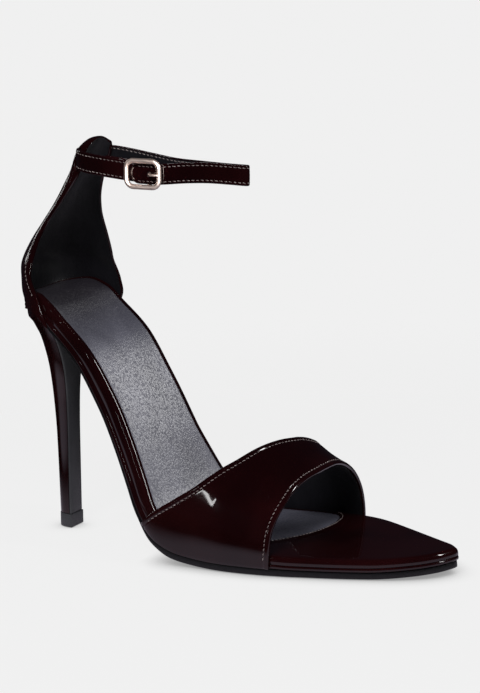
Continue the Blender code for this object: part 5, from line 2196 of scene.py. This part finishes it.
@dataclass
class Studio:
    """Camera, lamps, floor and surround."""

    target: tuple[float, float, float] = (-0.033, 0.0, 0.095)
    azimuth: float = 26.648572
    elevation: float = 11.603077
    distance: float = 1.100
    roll: float = -0.55708
    lens: float = 125.27
    shift: tuple[float, float] = (0.0161, -0.0028)
    paper: float = 0.871
    room: tuple = (0.010, 0.008, 0.011)
    floor_radius: float = 0.62
    floor_fade: tuple = (0.26, 0.58)
    floor_glow: float = 0.835
    floor_dull: float = 0.045
    # Reach of the painted contact shadow that ambient occlusion darkens into the floor's glow.
    contact_shadow_reach: float = 0.012
    # Painted reflection: colour and reaches of a glow that only reflection rays see, a pool round the shoe
    # and a patch off the heel.
    mirrored_color: tuple = (0.40, 0.36, 0.43)
    mirrored_pool: tuple = (0.080, 0.140)
    mirrored_patch: tuple = (0.030, 0.090)
    reflection_patch_centre: tuple = (-0.256, -0.119, 0.0)
    lamps: tuple[Lamp, ...] = (
        Lamp("key", (0.10, -0.85, 0.95), (-0.05, 0.0, 0.06), (0.50, 0.35), 12.0, mirrored=False),
        Lamp("toe_top", (0.80, 0.05, 0.75), (-0.03, 0.0, 0.05), (0.12, 0.30), 3.0),
        Lamp("heel_edge", (-0.95, 0.30, 0.50), (-0.08, 0.0, 0.12), (0.08, 0.50), 0.6),
        Lamp("glint", (-0.241, -0.782, 0.217), (-0.025, -0.038, 0.033), (0.120, 0.006), 0.030, turn=62.0),
        Lamp("sock_sheen", (0.42, 0.78, 0.42), (-0.05, 0.0, 0.04), (0.30, 0.30), 2.6, only=("sock_leather",)),
        Lamp("buckle_box", (0.50, -0.95, 0.45), (-0.05, 0.0, 0.17), (0.90, 0.90), 52.0,
             only=("buckle_frame_bar", "buckle_centre_bar", "buckle_prong_pin")),
        Lamp("strap_top", (-0.05, 0.15, 1.15), (-0.06, 0.0, 0.17), (0.90, 0.05), 4.0,
             only=("ankle_strap_leather", "strap_fold", "strap_stitches",
                   "band_stitches", "toe_cover_stitches")),
    )

    def build(self) -> None:
        """Set up the studio."""
        self._camera()
        self._surround()
        self._floor()
        for lamp in self.lamps:
            lamp.hang()
        bpy.context.scene.view_settings.view_transform = "Standard"

    def _camera(self) -> None:
        """The camera at the photograph's angle."""
        a = math.radians(self.azimuth)
        e = math.radians(self.elevation)
        back = Vector((math.sin(a) * math.cos(e), -math.cos(a) * math.cos(e), math.sin(e)))
        lens = bpy.data.cameras.new("camera")
        lens.sensor_width = 36.0
        lens.sensor_fit = "AUTO"
        lens.lens = self.lens
        lens.shift_x, lens.shift_y = self.shift
        lens.clip_start = 0.01
        lens.clip_end = 50.0
        item = bpy.data.objects.new("camera", lens)
        right = Vector((math.cos(a), math.sin(a), 0.0))
        up = back.cross(right)
        turn = Matrix((right, up, back)).transposed().to_4x4()
        turn = turn @ Matrix.Rotation(math.radians(self.roll), 4, "Z")
        turn.translation = Vector(self.target) + back * self.distance
        item.matrix_world = turn
        bpy.context.scene.collection.objects.link(item)
        bpy.context.scene.camera = item

    def _surround(self) -> None:
        """Pale paper where the camera looks, and a dim room for light and reflections."""
        world = bpy.data.worlds.new("studio")
        world.use_nodes = True
        bench = Bench(world.node_tree)
        seen = bench.add("LightPath").outputs["Is Camera Ray"]
        pale = bench.add("Background")
        bench.give((self.paper,) * 3, pale.inputs["Color"])
        dim = bench.add("Background")
        bench.give(self.room, dim.inputs["Color"])
        out = bench.add("OutputWorld")
        bench.give(bench.mixed(seen, dim, pale).outputs[0], out.inputs["Surface"])
        bpy.context.scene.world = world

    def _floor(self) -> None:
        """A pale floor that fades into the paper away from the shoe, with a painted contact shadow in its
        glow and a glow seen only in reflections.
        """
        radius = self.floor_radius
        sides = 96
        angles = np.linspace(0, 2 * math.pi, sides, endpoint=False)
        across = radius * np.cos(angles) - 0.03
        ring = np.stack([across, radius * np.sin(angles), 0 * angles - 0.0002], axis=-1)
        look = bpy.data.materials.new("floor_paper")
        look.use_nodes = True
        bench = Bench(look.node_tree)
        place = bench.place()
        fade = bench.spread(bench.span(place), self.floor_fade, (1.0, 0.0))
        # Painted contact shadow: ambient occlusion dims the floor's glow near the shoe.
        near = bench.add("AmbientOcclusion", samples=8)
        bench.give(self.contact_shadow_reach, near.inputs["Distance"])
        glow = bench.add("Emission")
        bench.give((self.floor_glow,) * 3, glow.inputs["Color"])
        bench.give(bench.spread(near.outputs["AO"], (0.0, 1.0), (0.35, 1.0)), glow.inputs["Strength"])
        dull = bench.add("BsdfDiffuse")
        bench.give((self.floor_dull,) * 3, dull.inputs["Color"])
        both = bench.add("AddShader")
        bench.give(glow.outputs[0], both.inputs[0])
        bench.give(dull.outputs[0], both.inputs[1])
        # Painted reflection: a glow in a pool and a patch that only reflection rays see, mirrored in the
        # patent.
        reflection_glow = bench.add("Emission")
        bench.give(self.mirrored_color, reflection_glow.inputs["Color"])
        patch = bench.spread(bench.span(place, self.reflection_patch_centre), self.mirrored_patch, (1.1, 0.0))
        pool = bench.spread(bench.span(bench.place((0.6, 1.0, 1.0))), self.mirrored_pool, (1.0, 0.0))
        bench.give(bench.math("MAXIMUM", pool, patch), reflection_glow.inputs["Strength"])
        glossy = bench.add("LightPath").outputs["Is Glossy Ray"]
        seen = bench.mixed(glossy, both, reflection_glow)
        out = bench.add("OutputMaterial")
        faded = bench.mixed(fade, bench.add("BsdfTransparent"), seen)
        bench.give(faded.outputs[0], out.inputs["Surface"])
        make_piece("floor", ring, [tuple(range(sides))], [look])


def main() -> None:
    """Build and dress the shoe, then set up the studio."""
    logging.basicConfig(level=logging.INFO, format="%(message)s")
    bed = BedForm()
    finishes = Finishes()
    route = StrapRoute(bed)
    heel = Heel(bed, finishes)
    buckle = Buckle(bed, finishes, route)
    breast = heel.breast() + heel.cover + 2 * bed.fit
    assemblies = (
        Outsole(bed, finishes, breast),
        Bed(bed, finishes),
        Band(bed, finishes),
        HeelCounter(bed, finishes, route),
        AnkleStrap(bed, finishes, route, buckle.prong_x()),
        buckle,
        heel,
    )
    for assembly in assemblies:
        made = assembly.build()
        LOG.info("%s: %d pieces", type(assembly).__name__, len(made))
    Studio().build()


if __name__ == "__main__":
    main()
